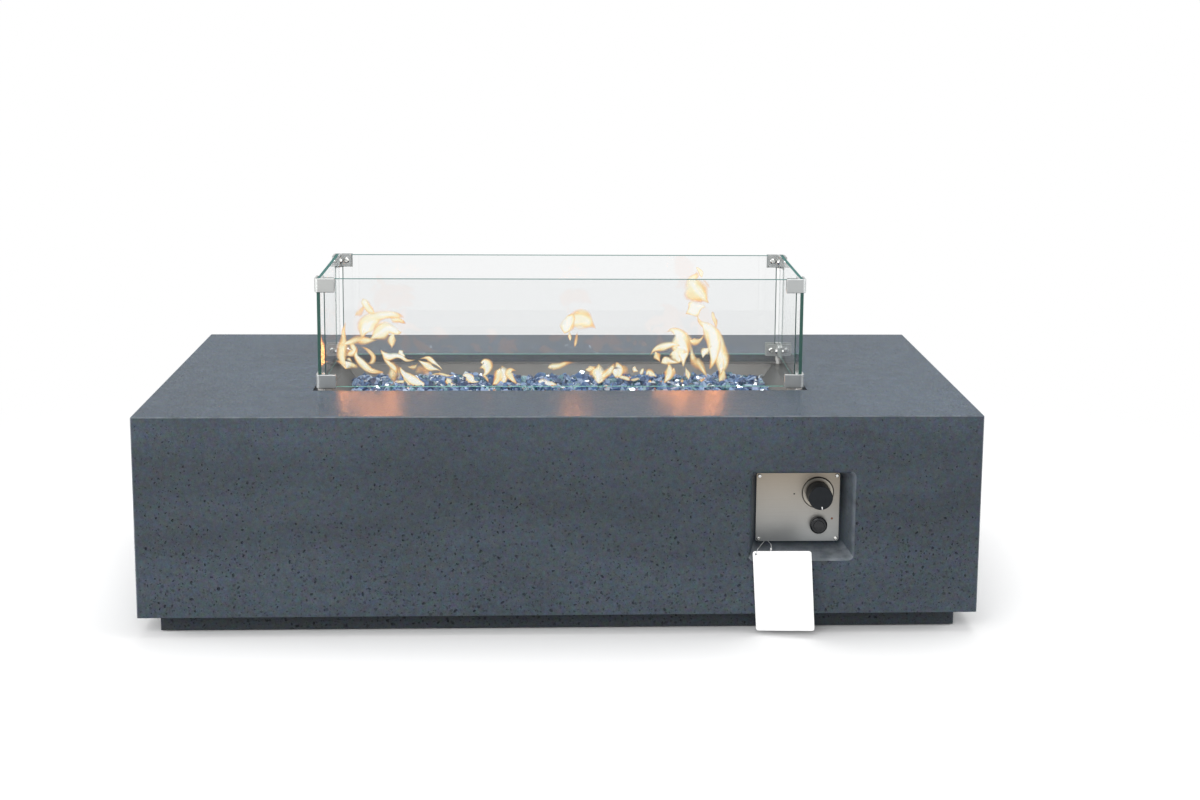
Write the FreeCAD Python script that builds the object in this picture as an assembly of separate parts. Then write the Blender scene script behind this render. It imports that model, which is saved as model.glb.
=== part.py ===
"""Concrete fire pit table: a hollow cast-concrete block on a set-back plinth, with a linear gas
burner in a drop-in pan, a bed of fire glass, a lift-off glass wind guard and a control plate.

Units are millimetres. +Z is up, -Y is the front, and X runs along the table.
The origin is on the ground, under the middle of the block.
"""
import FreeCAD, Part
import math
import os

Vec = FreeCAD.Vector
X_AXIS = Vec(1, 0, 0)
Y_AXIS = Vec(0, 1, 0)
Z_AXIS = Vec(0, 0, 1)

# Concrete block
table_length = 1420.0
table_depth = 710.0
table_height = 380.0
shell_wall = 18.0
top_thickness = 18.0
arris_radius = 3.0
rim_width = 70.0
rim_height = 30.0

# Plinth and pads under the block
plinth_height = 35.0
plinth_inset = 32.0
plinth_wall = 50.0
pad_length = 80.0
pad_width = 34.0
pad_thickness = 2.0
plinth_bolt_diameter = 8.0
plinth_bolt_grip = 22.0
plinth_bolt_head = 13.0
bolt_head_height = 8.0
bolt_clearance = 1.0
long_side_bolt_pitch = 450.0
short_side_bolt_pitch = 280.0

# Opening in the top, its cast ledge, and the drop-in pan
opening_length = 874.0
opening_depth = 325.0
flange_drop = 16.0
ledge_width = 19.0
ledge_thickness = 20.0
ledge_margin = 30.0
gasket_thickness = 1.0
gasket_width = 16.0
sheet = 1.5
pan_play = 2.0
flange_width = 23.0
pan_depth = 55.0

# Burner under the glass
burner_tube_diameter = 19.0
burner_tube_wall = 1.2
burner_end_gap = 37.0
burner_side_gap = 27.5
burner_height = 17.0
port_diameter = 3.0
port_pitch = 20.0
hub_diameter = 32.0
hub_height = 22.0
nipple_diameter = 21.3
nipple_bore = 15.0
nipple_length = 36.0
locknut_flats = 30.0
locknut_height = 6.0
stand_width = 20.0
mixer_diameter = 34.0
mixer_length = 72.0
mixer_wall = 3.0
air_hole = 12.0
orifice_flats = 17.0
orifice_length = 26.0

# Fire glass
bed_edge_drop = 20.0
bed_crown = 7.0
bed_ridge_width = 80.0
bed_clearance = 0.3
lump_size = 38.0
lump_height = 7.5
lump_root = 3.0
lump_pitch = 70.0
lump_row_pitch = 56.0
lump_shift = 6.0
lump_turn = 37.0
lump_tilt = 6.0

# Flame sensor and spark electrode, under a hood beside the burner
hood_x = 80.0
hood_y = 40.0
hood_length = 60.0
hood_width = 32.0
hood_height = 28.0
hood_sheet = 1.2
probe_offset = 15.0
probe_diameter = 6.0
probe_length = 20.0
insulator_diameter = 8.0
insulator_length = 14.0
electrode_diameter = 2.5
electrode_length = 22.0
grommet_hole = 12.0
grommet_lip = 3.0

# Splayed control recess in the front
recess_x = 405.0
recess_z = 206.0
recess_mouth_width = 174.0
recess_mouth_height = 150.0
recess_back_width = 148.0
recess_back_height = 124.0
recess_depth = 56.0
recess_corner_radius = 8.0
recess_wall = 14.0
web_thickness = 12.0
web_hole_width = 120.0
web_hole_height = 94.0

# Control plate
plate_width = 143.5
plate_height = 121.0
plate_thickness = 1.5
plate_corner_radius = 4.0
plate_screw_inset = 4.9
plate_screw_diameter = 4.0
plate_screw_head = 7.0
plate_screw_length = 12.0
insert_diameter = 6.0
insert_length = 10.0

# Gas valve and knob
knob_x = 439.0
knob_z = 232.0
knob_diameter = 41.0
knob_length = 34.0
knob_gap = 4.0
knob_wall = 2.5
knob_hub = 14.0
knob_hub_inset = 1.0
knob_edge_radius = 1.0
knob_travel = 3.0
pointer_angle = 8.0
pointer_length = 4.5
pointer_width = 1.8
pointer_depth = 0.5
bezel_diameter = 56.0
bezel_bore = 44.0
bezel_height = 3.0
stem_diameter = 8.0
stem_flat = 1.2
stem_length = 65.5
running_clearance = 0.05
valve_flange_width = 40.0
valve_flange_height = 27.0
valve_flange_thickness = 3.0
valve_body_diameter = 31.0
valve_body_length = 60.0
valve_nose = 8.0
plug_diameter = 18.0
plug_length = 26.0
plug_play = 0.3
valve_port_diameter = 16.0
valve_port_length = 14.0
valve_screw_pitch = 27.0
valve_screw_head = 6.0
valve_screw_diameter = 3.5

# Push-button igniter
igniter_x = 440.8
igniter_z = 175.5
igniter_bezel = 30.0
igniter_bezel_height = 11.5
igniter_shoulder = 4.0
igniter_body = 22.0
igniter_length = 76.0
igniter_button = 19.0
igniter_button_length = 14.0
igniter_button_proud = 2.0
igniter_button_clearance = 0.1
igniter_travel = 3.0
igniter_nut = 30.0
igniter_nut_height = 5.0
battery_diameter = 10.5
battery_length = 44.5
battery_play = 0.25
spring_diameter = 9.5
spring_wire = 0.9
spring_turns = 5

# Gas pipes and the inlet at the rear
pipe_diameter = 9.5
pipe_bend = 28.0
pipe_drop = 60.0
pipe_reach = 60.0
flare_nut_flats = 17.0
flare_nut_length = 16.0
inlet_x = 300.0
inlet_z = 110.0
inlet_hole = 64.0
inlet_plate = 84.0
inlet_plate_thickness = 2.0
inlet_thread = 15.9
inlet_thread_length = 8.0
inlet_neck = 13.5
inlet_neck_length = 1.0
inlet_panel_thread = 18.0
inlet_panel_thread_length = 9.0
inlet_hex_flats = 26.0
inlet_hex_length = 10.0
inlet_tail = 12.9
inlet_tail_length = 8.0
inlet_bore = 6.0
inlet_locknut_height = 6.0
inlet_screw_pitch = 70.0
inlet_screw_diameter = 5.0
inlet_screw_head = 9.0
lead_diameter = 3.0
wire_diameter = 5.0
lead_bend = 20.0
lead_reach = 60.0
wire_bend = 30.0
wire_sideways = 70.0
wire_drop = 54.0

# Ventilation slots low in the rear wall
vent_slots = 5
vent_pitch = 30.0
vent_width = 12.0
vent_height = 60.0
vent_z = 115.0
vent_x = 480.0

# Glass wind guard
guard_end_gap = 8.0
guard_side_gap = 17.0
glass_thickness = 6.0
pane_height = 194.0
pane_lift = 2.6
corner_gap = 6.2
pane_arris = 0.7
clip_leg = 35.5
clip_plate = 3.6
clip_height = 25.0
clip_floor = 1.6
clip_overlap = 1.0
clip_radius = 9.0
clip_edge_radius = 1.2
clip_inner_height = 22.6
clip_inner_setback = 2.0
clip_inner_chamfer = 3.0
liner_thickness = 0.6
clamp_screw_from_corner = 24.7
clamp_screw_diameter = 6.0
clamp_head_diameter = 10.5
clamp_head_height = 3.8
clamp_socket = 4.0
foot_inset_x = 5.0
foot_inset_y = 3.0
foot_collar = 13.0
foot_collar_height = 9.4
foot_tip = 9.6
foot_gap = 0.3

# Hang tag on a string
tag_width = 99.0
tag_height = 140.0
tag_thickness = 0.6
tag_corner_radius = 4.5
tag_hole = 3.6
tag_hole_inset = 5.5
tag_corner = Vec(321.8, -359.0, 146.6)
tag_roll = 3.6
tag_yaw = 12.0
string_diameter = 1.0
ferrule_diameter = 3.0
ferrule_length = 3.6
ferrule_play = 0.16

# Heights and planes that the pieces share
half_length = table_length / 2
half_depth = table_depth / 2
ceiling_z = table_height - top_thickness
flange_top_z = table_height - flange_drop
ledge_z = flange_top_z - sheet - gasket_thickness
pan_floor_z = flange_top_z - pan_depth
pan_half_x = opening_length / 2 - pan_play - flange_width
pan_half_y = opening_depth / 2 - pan_play - flange_width
floor_half_x = pan_half_x - pan_depth
floor_half_y = pan_half_y - pan_depth
burner_z = pan_floor_z + burner_height
burner_length = 2 * (floor_half_x - burner_end_gap)
burner_arm = 2 * (floor_half_y - burner_side_gap)
inner_rear_y = half_depth - shell_wall
web_front_y = -half_depth + recess_depth
web_back_y = web_front_y + web_thickness
plate_front_y = web_front_y - plate_thickness
knob_back_y = plate_front_y - knob_gap
knob_front_y = knob_back_y - knob_length
valve_back_y = web_front_y + valve_body_length
igniter_back_y = web_front_y + igniter_length
igniter_front_y = plate_front_y - igniter_bezel_height
guard_length = opening_length - 2 * guard_end_gap
guard_depth = opening_depth - 2 * guard_side_gap
cover = clip_plate + liner_thickness
clip_outer_x = guard_length / 2 + cover
clip_outer_y = guard_depth / 2 + cover
clip_depth = glass_thickness + 2 * cover
long_pane_end = guard_length / 2 - glass_thickness - corner_gap
pane_bottom_z = table_height + pane_lift
pane_top_z = pane_bottom_z + pane_height
mixer_top_z = pan_floor_z - sheet - locknut_height - 3.0
mixer_bottom_z = mixer_top_z - mixer_length
orifice_bottom_z = mixer_bottom_z - orifice_length + 8.0
plug_front_y = web_front_y + valve_nose
foot_z = flange_top_z + foot_gap


def block(x0, x1, y0, y1, z0, z1):
    """A box between two corners."""
    return Part.makeBox(x1 - x0, y1 - y0, z1 - z0, Vec(x0, y0, z0))


def centred_block(length, depth, z0, z1, x=0.0, y=0.0):
    """A box centred on a vertical line."""
    return block(x - length / 2, x + length / 2, y - depth / 2, y + depth / 2, z0, z1)


def rod(diameter, length, start, axis):
    """A round bar that starts at a point and runs along an axis."""
    return Part.makeCylinder(diameter / 2, length, start, axis)


def hexagon(flats, length, start, axis):
    """A hexagonal bar, given across its flats."""
    radius = flats / math.sqrt(3)
    points = []
    for corner in range(7):
        angle = math.radians(60 * corner)
        points.append(Vec(radius * math.cos(angle), radius * math.sin(angle), 0))
    bar = Part.Face(Part.makePolygon(points)).extrude(Vec(0, 0, length))
    bar.Placement = FreeCAD.Placement(start, FreeCAD.Rotation(Z_AXIS, axis))
    return bar


def frustum(half_x0, half_y0, z0, half_x1, half_y1, z1):
    """A flat-sided solid between two level rectangles."""
    wires = []
    for hx, hy, z in ((half_x0, half_y0, z0), (half_x1, half_y1, z1)):
        corners = [Vec(-hx, -hy, z), Vec(hx, -hy, z), Vec(hx, hy, z), Vec(-hx, hy, z)]
        wires.append(Part.makePolygon(corners + corners[:1]))
    return Part.makeLoft(wires, True, True)


def rounded_outline(width, height, radius, x, y, z):
    """An upright rounded rectangle facing the front, centred on a point."""
    w = width / 2 - radius
    h = height / 2 - radius
    d = radius * math.sqrt(0.5)
    edges = []
    centres = [(w, h, 1, 1), (-w, h, -1, 1), (-w, -h, -1, -1), (w, -h, 1, -1)]
    ends = []
    for cx, cz, sx, sz in centres:
        side = Vec(x + cx + sx * radius, y, z + cz)
        top = Vec(x + cx, y, z + cz + sz * radius)
        middle = Vec(x + cx + sx * d, y, z + cz + sz * d)
        first, last = (side, top) if sx * sz > 0 else (top, side)
        ends.append((first, middle, last))
    for index, (first, middle, last) in enumerate(ends):
        edges.append(Part.Arc(first, middle, last).toShape())
        edges.append(Part.makeLine(last, ends[(index + 1) % 4][0]))
    return Part.Wire(edges)


def rounded_plate(width, height, radius, thickness, x, y, z):
    """An upright plate with rounded corners, from y backwards by its thickness."""
    outline = rounded_outline(width, height, radius, x, y, z)
    return Part.Face(outline).extrude(Vec(0, thickness, 0))


def pipe_along(points, diameter, bend):
    """A round pipe along straight runs joined by tangent arcs."""
    edges = []
    start = points[0]
    for before, corner, after in zip(points, points[1:], points[2:]):
        into = (corner - before).normalize()
        out = (after - corner).normalize()
        half_turn = into.getAngle(out) / 2
        setback = bend * math.tan(half_turn)
        first = corner - into * setback
        last = corner + out * setback
        bisector = (out - into).normalize()
        centre = corner + bisector * (bend / math.cos(half_turn))
        middle = centre - bisector * bend
        edges.append(Part.makeLine(start, first))
        edges.append(Part.Arc(first, middle, last).toShape())
        start = last
    edges.append(Part.makeLine(start, points[-1]))
    path = Part.Wire(edges)
    profile = Part.Wire(Part.makeCircle(diameter / 2, points[0], points[1] - points[0]))
    pipe = path.makePipeShell([profile], True, False)
    ideal = math.pi * diameter ** 2 / 4 * path.Length
    print("pipe", diameter, "bend", round(bend, 2), "volume ratio", round(pipe.Volume / ideal, 5))
    return pipe


def fuse_all(solids):
    """One solid from several that meet."""
    whole = solids[0]
    for solid in solids[1:]:
        whole = whole.fuse(solid)
    return whole.removeSplitter()


def edges_at(shape, test):
    """The edges whose end points all pass a test."""
    return [edge for edge in shape.Edges if all(test(v.Point) for v in edge.Vertexes)]


def near(a, b):
    return abs(a - b) < 1e-6


def plinth_bolt_places():
    """Where the bolts pass up through the plinth into the block's bottom rim."""
    plinth_edge = plinth_inset
    line = (plinth_edge + rim_width) / 2
    places = []
    for y in (-half_depth + line, half_depth - line):
        for step in (-1, 0, 1):
            places.append((step * long_side_bolt_pitch, y))
    for x in (-half_length + line, half_length - line):
        for step in (-0.5, 0.5):
            places.append((x, step * short_side_bolt_pitch))
    return places


def plate_screw_places():
    """The four corners of the control plate where its screws stand."""
    dx = plate_width / 2 - plate_screw_inset
    dz = plate_height / 2 - plate_screw_inset
    return [(recess_x + sx * dx, recess_z + sz * dz) for sx in (-1, 1) for sz in (-1, 1)]


def control_pocket():
    """The splayed hollow of the control recess, from the front face to the web."""
    mouth = rounded_outline(recess_mouth_width, recess_mouth_height, recess_corner_radius,
                            recess_x, -half_depth, recess_z)
    back = rounded_outline(recess_back_width, recess_back_height, recess_corner_radius,
                           recess_x, web_front_y, recess_z)
    return Part.makeLoft([mouth, back], True, True)


def vent_slot(x):
    """One round-ended ventilation slot through the rear wall."""
    start_y = inner_rear_y - 1.0
    depth = shell_wall + 2.0
    straight = (vent_height - vent_width) / 2
    slot = block(x - vent_width / 2, x + vent_width / 2, start_y, start_y + depth,
                 vent_z - straight, vent_z + straight)
    for end in (-1, 1):
        slot = slot.fuse(rod(vent_width, depth, Vec(x, start_y, vent_z + end * straight), Y_AXIS))
    return slot.removeSplitter()


def concrete_shell():
    """The hollow casting: four walls, the top, the ledge round the opening, and the recess."""
    shell = centred_block(table_length, table_depth, plinth_height, table_height)
    arrises = edges_at(shell, lambda p: near(p.z, table_height))
    arrises += [e for e in shell.Edges if near(abs(e.tangentAt(e.FirstParameter).z), 1)]
    shell = shell.makeFillet(arris_radius, arrises)
    shell = shell.cut(centred_block(table_length - 2 * shell_wall, table_depth - 2 * shell_wall,
                                    plinth_height + rim_height, ceiling_z))
    shell = shell.cut(centred_block(table_length - 2 * rim_width, table_depth - 2 * rim_width,
                                    plinth_height - 1, plinth_height + rim_height + 1))
    ring = centred_block(opening_length + 2 * ledge_margin, opening_depth + 2 * ledge_margin,
                         ledge_z - ledge_thickness, ceiling_z)
    shell = shell.fuse(ring)
    shell = shell.cut(centred_block(opening_length, opening_depth, ledge_z, table_height + 1))
    shell = shell.cut(centred_block(opening_length - 2 * ledge_width,
                                    opening_depth - 2 * ledge_width,
                                    ledge_z - ledge_thickness - 1, ledge_z + 1))
    pocket = block(recess_x - recess_mouth_width / 2 - recess_wall,
                   recess_x + recess_mouth_width / 2 + recess_wall,
                   -half_depth + shell_wall, web_back_y,
                   recess_z - recess_mouth_height / 2 - recess_wall,
                   recess_z + recess_mouth_height / 2 + recess_wall)
    shell = shell.fuse(pocket).cut(control_pocket())
    shell = shell.cut(block(recess_x - web_hole_width / 2, recess_x + web_hole_width / 2,
                            web_front_y - 1, web_back_y + 1,
                            recess_z - web_hole_height / 2, recess_z + web_hole_height / 2))
    for x, z in plate_screw_places():
        shell = shell.cut(rod(insert_diameter, insert_length, Vec(x, web_front_y, z), Y_AXIS))
    shell = shell.cut(rod(inlet_hole, shell_wall + 2, Vec(inlet_x, inner_rear_y - 1, inlet_z),
                          Y_AXIS))
    for x, z in inlet_screw_places():
        shell = shell.cut(rod(inlet_screw_diameter, inlet_screw_depth(),
                              Vec(x, inner_rear_y, z), Y_AXIS))
    for side in (-1, 1):
        for slot in range(vent_slots):
            shell = shell.cut(vent_slot(side * vent_x + (slot - (vent_slots - 1) / 2) * vent_pitch))
    for x, y in plinth_bolt_places():
        shell = shell.cut(rod(plinth_bolt_diameter, plinth_bolt_grip,
                              Vec(x, y, plinth_height), Z_AXIS))
    return shell.removeSplitter()


def base_plinth():
    """The set-back ring of the same concrete that the block stands on."""
    outer_x = table_length - 2 * plinth_inset
    outer_y = table_depth - 2 * plinth_inset
    ring = centred_block(outer_x, outer_y, pad_thickness, plinth_height)
    ring = ring.makeFillet(arris_radius, [e for e in ring.Edges if near(e.Length, ring.BoundBox.ZLength)])
    ring = ring.cut(centred_block(outer_x - 2 * plinth_wall, outer_y - 2 * plinth_wall,
                                  pad_thickness - 1, plinth_height + 1))
    head_room = bolt_head_height + 2.0
    for x, y in plinth_bolt_places():
        ring = ring.cut(rod(plinth_bolt_head + 3.0, head_room, Vec(x, y, pad_thickness), Z_AXIS))
        ring = ring.cut(rod(plinth_bolt_diameter + bolt_clearance, plinth_height,
                            Vec(x, y, pad_thickness), Z_AXIS))
    return ring


def plinth_bolts():
    """Socket-head bolts that hold the plinth to the block, set in counterbores."""
    bolts = []
    head_top = pad_thickness + bolt_head_height + 2.0
    for x, y in plinth_bolt_places():
        head = rod(plinth_bolt_head, bolt_head_height, Vec(x, y, head_top - bolt_head_height), Z_AXIS)
        socket = hexagon(6.0, 4.0, Vec(x, y, head_top - bolt_head_height), Z_AXIS)
        shank = rod(plinth_bolt_diameter, plinth_height + plinth_bolt_grip - 2.0 - head_top,
                    Vec(x, y, head_top), Z_AXIS)
        bolts.append(head.cut(socket).fuse(shank))
    return Part.makeCompound(bolts)


def foot_pads():
    """Thin rubber pads glued under the plinth."""
    inset = plinth_inset + plinth_wall / 2
    pads = []
    for x in (-half_length + inset + pad_length, 0.0, half_length - inset - pad_length):
        for y in (-half_depth + inset, half_depth - inset):
            pads.append(centred_block(pad_length, pad_width, 0, pad_thickness, x, y))
    return Part.makeCompound(pads)


def tray_gasket():
    """A heat-resistant strip on the ledge that the pan's flange rests on."""
    outer_x = opening_length - 2 * pan_play
    outer_y = opening_depth - 2 * pan_play
    ring = centred_block(outer_x, outer_y, ledge_z, ledge_z + gasket_thickness)
    return ring.cut(centred_block(outer_x - 2 * gasket_width, outer_y - 2 * gasket_width,
                                  ledge_z - 1, ledge_z + gasket_thickness + 1))


def burner_pan():
    """The stainless drop-in pan: a flat flange, four sloping sides and a floor."""
    spread = sheet * math.sqrt(2)
    flange = centred_block(opening_length - 2 * pan_play, opening_depth - 2 * pan_play,
                           flange_top_z - sheet, flange_top_z)
    outside = frustum(floor_half_x - sheet + spread, floor_half_y - sheet + spread,
                      pan_floor_z - sheet,
                      pan_half_x + spread, pan_half_y + spread, flange_top_z)
    inside = frustum(floor_half_x - 1, floor_half_y - 1, pan_floor_z - 1,
                     pan_half_x + 1, pan_half_y + 1, flange_top_z + 1)
    inside = inside.common(centred_block(table_length, table_depth, pan_floor_z, table_height))
    pan = flange.fuse(outside).cut(inside)
    pan = pan.cut(rod(nipple_diameter + 0.4, 10, Vec(0, 0, pan_floor_z - 5), Z_AXIS))
    for x in sensor_places():
        pan = pan.cut(rod(grommet_hole, 10, Vec(x, hood_y, pan_floor_z - 5), Z_AXIS))
    for sx in (-1, 1):
        for sy in (-1, 1):
            drain = Vec(sx * (floor_half_x - 20), sy * (floor_half_y - 20), pan_floor_z - 5)
            pan = pan.cut(rod(6.0, 10, drain, Z_AXIS))
    return pan.removeSplitter()


def burner_outline(grow):
    """The burner's tubes and hub as plain bars, grown all round by a clearance."""
    diameter = burner_tube_diameter + 2 * grow
    length = burner_length + burner_tube_diameter + 2 * grow
    bars = [rod(diameter, burner_length, Vec(-burner_length / 2, 0, burner_z), X_AXIS)]
    for end in (-1, 1):
        start = Vec(end * burner_length / 2, -burner_arm / 2 - grow, burner_z)
        bars.append(rod(diameter, burner_arm + 2 * grow, start, Y_AXIS))
    hub_start = Vec(0, 0, pan_floor_z + locknut_height - grow)
    bars.append(rod(hub_diameter + 2 * grow, hub_height + 2 * grow, hub_start, Z_AXIS))
    return bars


def burner():
    """The welded burner: a long tube, an arm across each end, a hub, and drilled ports."""
    inner = burner_tube_diameter - 2 * burner_tube_wall
    bores = [rod(inner, burner_length, Vec(-burner_length / 2, 0, burner_z), X_AXIS)]
    for end in (-1, 1):
        start = Vec(end * burner_length / 2, -burner_arm / 2 + burner_tube_wall, burner_z)
        bores.append(rod(inner, burner_arm - 2 * burner_tube_wall, start, Y_AXIS))
    hub_bore = Vec(0, 0, pan_floor_z + locknut_height - 1)
    bores.append(rod(nipple_bore, burner_height - locknut_height + 1, hub_bore, Z_AXIS))
    ports = [rod(port_diameter, burner_tube_diameter, place, Z_AXIS) for place in burner_ports()]
    body = fuse_all(burner_outline(0.0)).cut(fuse_all(bores))
    return body.cut(Part.makeCompound(ports))


def burner_ports():
    """Where the gas comes out along the top: down the long tube beside the hub, and the two arms."""
    places = []
    rounding = 0.01
    steps = int(burner_length / 2 / port_pitch + rounding)
    for step in range(-steps, steps + 1):
        if abs(step * port_pitch) > hub_diameter / 2 + port_diameter:
            places.append(Vec(step * port_pitch, 0, burner_z))
    steps = int(burner_arm / 2 / port_pitch + rounding)
    for end in (-1, 1):
        for step in range(-steps, steps + 1):
            if step:
                places.append(Vec(end * burner_length / 2, step * port_pitch, burner_z))
    return places


def burner_nipple():
    """The threaded pipe that joins the hub, the pan and the air mixer."""
    top = pan_floor_z + locknut_height
    pipe = rod(nipple_diameter, nipple_length, Vec(0, 0, top - nipple_length), Z_AXIS)
    return pipe.cut(rod(nipple_bore, nipple_length + 2, Vec(0, 0, top - nipple_length - 1), Z_AXIS))


def burner_locknuts():
    """Two hexagon nuts that clamp the pan's floor."""
    nuts = []
    for z in (pan_floor_z, pan_floor_z - sheet - locknut_height):
        nut = hexagon(locknut_flats, locknut_height, Vec(0, 0, z), Z_AXIS)
        nuts.append(nut.cut(rod(nipple_diameter, locknut_height + 2, Vec(0, 0, z - 1), Z_AXIS)))
    return Part.makeCompound(nuts)


def burner_stands():
    """Folded channels under the two arms, which keep the tubes level."""
    stands = []
    top = burner_z - burner_tube_diameter / 2
    for end in (-1, 1):
        for side in (-1, 1):
            x = end * burner_length / 2
            y = side * (burner_arm / 2 - stand_width)
            channel = centred_block(stand_width, stand_width, pan_floor_z, top, x, y)
            hollow = centred_block(stand_width - 2 * sheet, stand_width + 2, pan_floor_z - 1,
                                   top - sheet, x, y)
            stands.append(channel.cut(hollow))
    return Part.makeCompound(stands)


def air_mixer():
    """The brass tube under the pan where air joins the gas, open through two cross holes."""
    body = rod(mixer_diameter, mixer_length, Vec(0, 0, mixer_bottom_z), Z_AXIS)
    bore = rod(nipple_diameter, mixer_length - 8.0, Vec(0, 0, mixer_bottom_z + 8.0), Z_AXIS)
    body = body.cut(bore)
    body = body.cut(rod(orifice_thread(), 20, Vec(0, 0, mixer_bottom_z - 1), Z_AXIS))
    hole_z = mixer_bottom_z + 22.0
    for axis in (X_AXIS, Y_AXIS):
        start = Vec(0, 0, hole_z) - axis * mixer_diameter
        body = body.cut(rod(air_hole, 2 * mixer_diameter, start, axis))
    return body


def orifice_thread():
    """The diameter of the jet's thread in the mixer's end."""
    return orifice_flats - 5.0


def gas_orifice():
    """The brass jet: a hexagon body, a thread into the mixer and a fine gas way."""
    hex_length = mixer_bottom_z - orifice_bottom_z
    body = hexagon(orifice_flats, hex_length, Vec(0, 0, orifice_bottom_z), Z_AXIS)
    body = body.fuse(rod(orifice_thread(), 14.0, Vec(0, 0, mixer_bottom_z), Z_AXIS))
    return body.cut(rod(1.8, orifice_length + 10, Vec(0, 0, orifice_bottom_z - 1), Z_AXIS))


def sensor_places():
    """The X places of the flame sensor and the spark electrode."""
    return (hood_x - probe_offset, hood_x + probe_offset)


def sensor_hood():
    """The bent cover that keeps the glass off the sensor and electrode, open to the burner."""
    top = pan_floor_z + hood_height
    hood = centred_block(hood_length, hood_width, pan_floor_z, top, hood_x, hood_y)
    inside = block(hood_x - hood_length / 2 + hood_sheet, hood_x + hood_length / 2 - hood_sheet,
                   hood_y - hood_width, hood_y + hood_width / 2 - hood_sheet,
                   pan_floor_z - 1, top - hood_sheet)
    return hood.cut(inside)


def thermocouple_probe():
    """The flame sensor's tip, standing in its grommet."""
    return rod(probe_diameter, probe_length, Vec(sensor_places()[0], hood_y, pan_floor_z), Z_AXIS)


def spark_insulator():
    """The ceramic sleeve round the electrode's foot."""
    start = Vec(sensor_places()[1], hood_y, pan_floor_z)
    sleeve = rod(insulator_diameter, insulator_length, start, Z_AXIS)
    return sleeve.cut(rod(electrode_diameter, insulator_length + 2, start - Z_AXIS, Z_AXIS))


def spark_electrode():
    """The steel pin that the spark jumps from."""
    return rod(electrode_diameter, electrode_length, Vec(sensor_places()[1], hood_y, pan_floor_z),
               Z_AXIS)


def wire_grommets():
    """Two rubber grommets in the pan's floor, which the lead and the wire pass through."""
    grommets = []
    bores = (lead_diameter, wire_diameter)
    for x, bore in zip(sensor_places(), bores):
        low = pan_floor_z - sheet - grommet_lip
        body = rod(grommet_hole, grommet_lip + sheet, Vec(x, hood_y, low), Z_AXIS)
        lip = rod(grommet_hole + 6.0, grommet_lip, Vec(x, hood_y, low), Z_AXIS)
        hole = rod(bore, 20, Vec(x, hood_y, low - 5), Z_AXIS)
        grommets.append(body.fuse(lip).cut(hole))
    return Part.makeCompound(grommets)


def bed_surface(x, y):
    """The height of the bed's levelled top at a place."""
    edge_z = flange_top_z - bed_edge_drop
    rise = edge_z - pan_floor_z
    along = (abs(x) - burner_length / 2) / (floor_half_x + rise - burner_length / 2)
    across = (abs(y) - bed_ridge_width / 2) / (floor_half_y + rise - bed_ridge_width / 2)
    return edge_z + bed_crown * (1 - max(along, across, 0))


def glass_lump(number, x, y):
    """One flat-topped heap of chips, turned and tilted unlike the ones beside it."""
    half = lump_size / 2 * (0.85 + 0.1 * (number % 4))
    lump = frustum(half, half * 0.8, -lump_root, half * 0.6, half * 0.45, lump_height)
    lump.rotate(Vec(0, 0, 0), Vec(1, 0, 0), lump_tilt * (number % 3 - 1))
    lump.rotate(Vec(0, 0, 0), Z_AXIS, lump_turn * number)
    lump.translate(Vec(x, y, bed_surface(x, y)))
    return lump


def glass_lumps():
    """Staggered rows of heaps over the bed, a little out of line."""
    lumps = []
    for row in range(4):
        columns = 11 - row % 2
        for column in range(columns):
            number = len(lumps)
            x = (column - (columns - 1) / 2) * lump_pitch + lump_shift * math.sin(2.4 * number)
            y = (row - 1.5) * lump_row_pitch + lump_shift * math.cos(1.7 * number) / 2
            lumps.append(glass_lump(number, x, y))
    return lumps


def fire_glass():
    """The loose bed of glass as one low mound of heaps that fills the pan round the burner."""
    edge_z = flange_top_z - bed_edge_drop
    rise = edge_z - pan_floor_z
    bed = frustum(floor_half_x, floor_half_y, pan_floor_z,
                  floor_half_x + rise, floor_half_y + rise, edge_z)
    crown = frustum(floor_half_x + rise, floor_half_y + rise, edge_z,
                    burner_length / 2, bed_ridge_width / 2, edge_z + bed_crown)
    bed = bed.fuse([crown] + glass_lumps())
    hollows = burner_outline(bed_clearance)
    hollows.append(rod(locknut_flats * 1.3, locknut_height, Vec(0, 0, pan_floor_z), Z_AXIS))
    hollows.append(block(hood_x - hood_length / 2, hood_x + hood_length / 2, 0,
                         hood_y + hood_width / 2, pan_floor_z, pan_floor_z + hood_height))
    for end in (-1, 1):
        for side in (-1, 1):
            hollows.append(centred_block(stand_width, stand_width, pan_floor_z, burner_z,
                                         end * burner_length / 2,
                                         side * (burner_arm / 2 - stand_width)))
    for hollow in hollows:
        bed = bed.cut(hollow)
    return bed.removeSplitter()


def control_plate():
    """The brushed stainless plate, with holes for its screws, the valve stem and the igniter."""
    plate = rounded_plate(plate_width, plate_height, plate_corner_radius, plate_thickness,
                          recess_x, plate_front_y, recess_z)
    for x, z in plate_screw_places():
        plate = plate.cut(rod(plate_screw_diameter + 0.4, 10, Vec(x, plate_front_y - 5, z), Y_AXIS))
    plate = plate.cut(rod(stem_diameter + 4.0, 10, Vec(knob_x, plate_front_y - 5, knob_z), Y_AXIS))
    for side in (-1, 1):
        place = Vec(knob_x + side * valve_screw_pitch / 2, plate_front_y - 5, knob_z)
        plate = plate.cut(rod(valve_screw_diameter + 0.3, 10, place, Y_AXIS))
    return plate.cut(rod(igniter_body + 0.4, 10, Vec(igniter_x, plate_front_y - 5, igniter_z), Y_AXIS))


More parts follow.
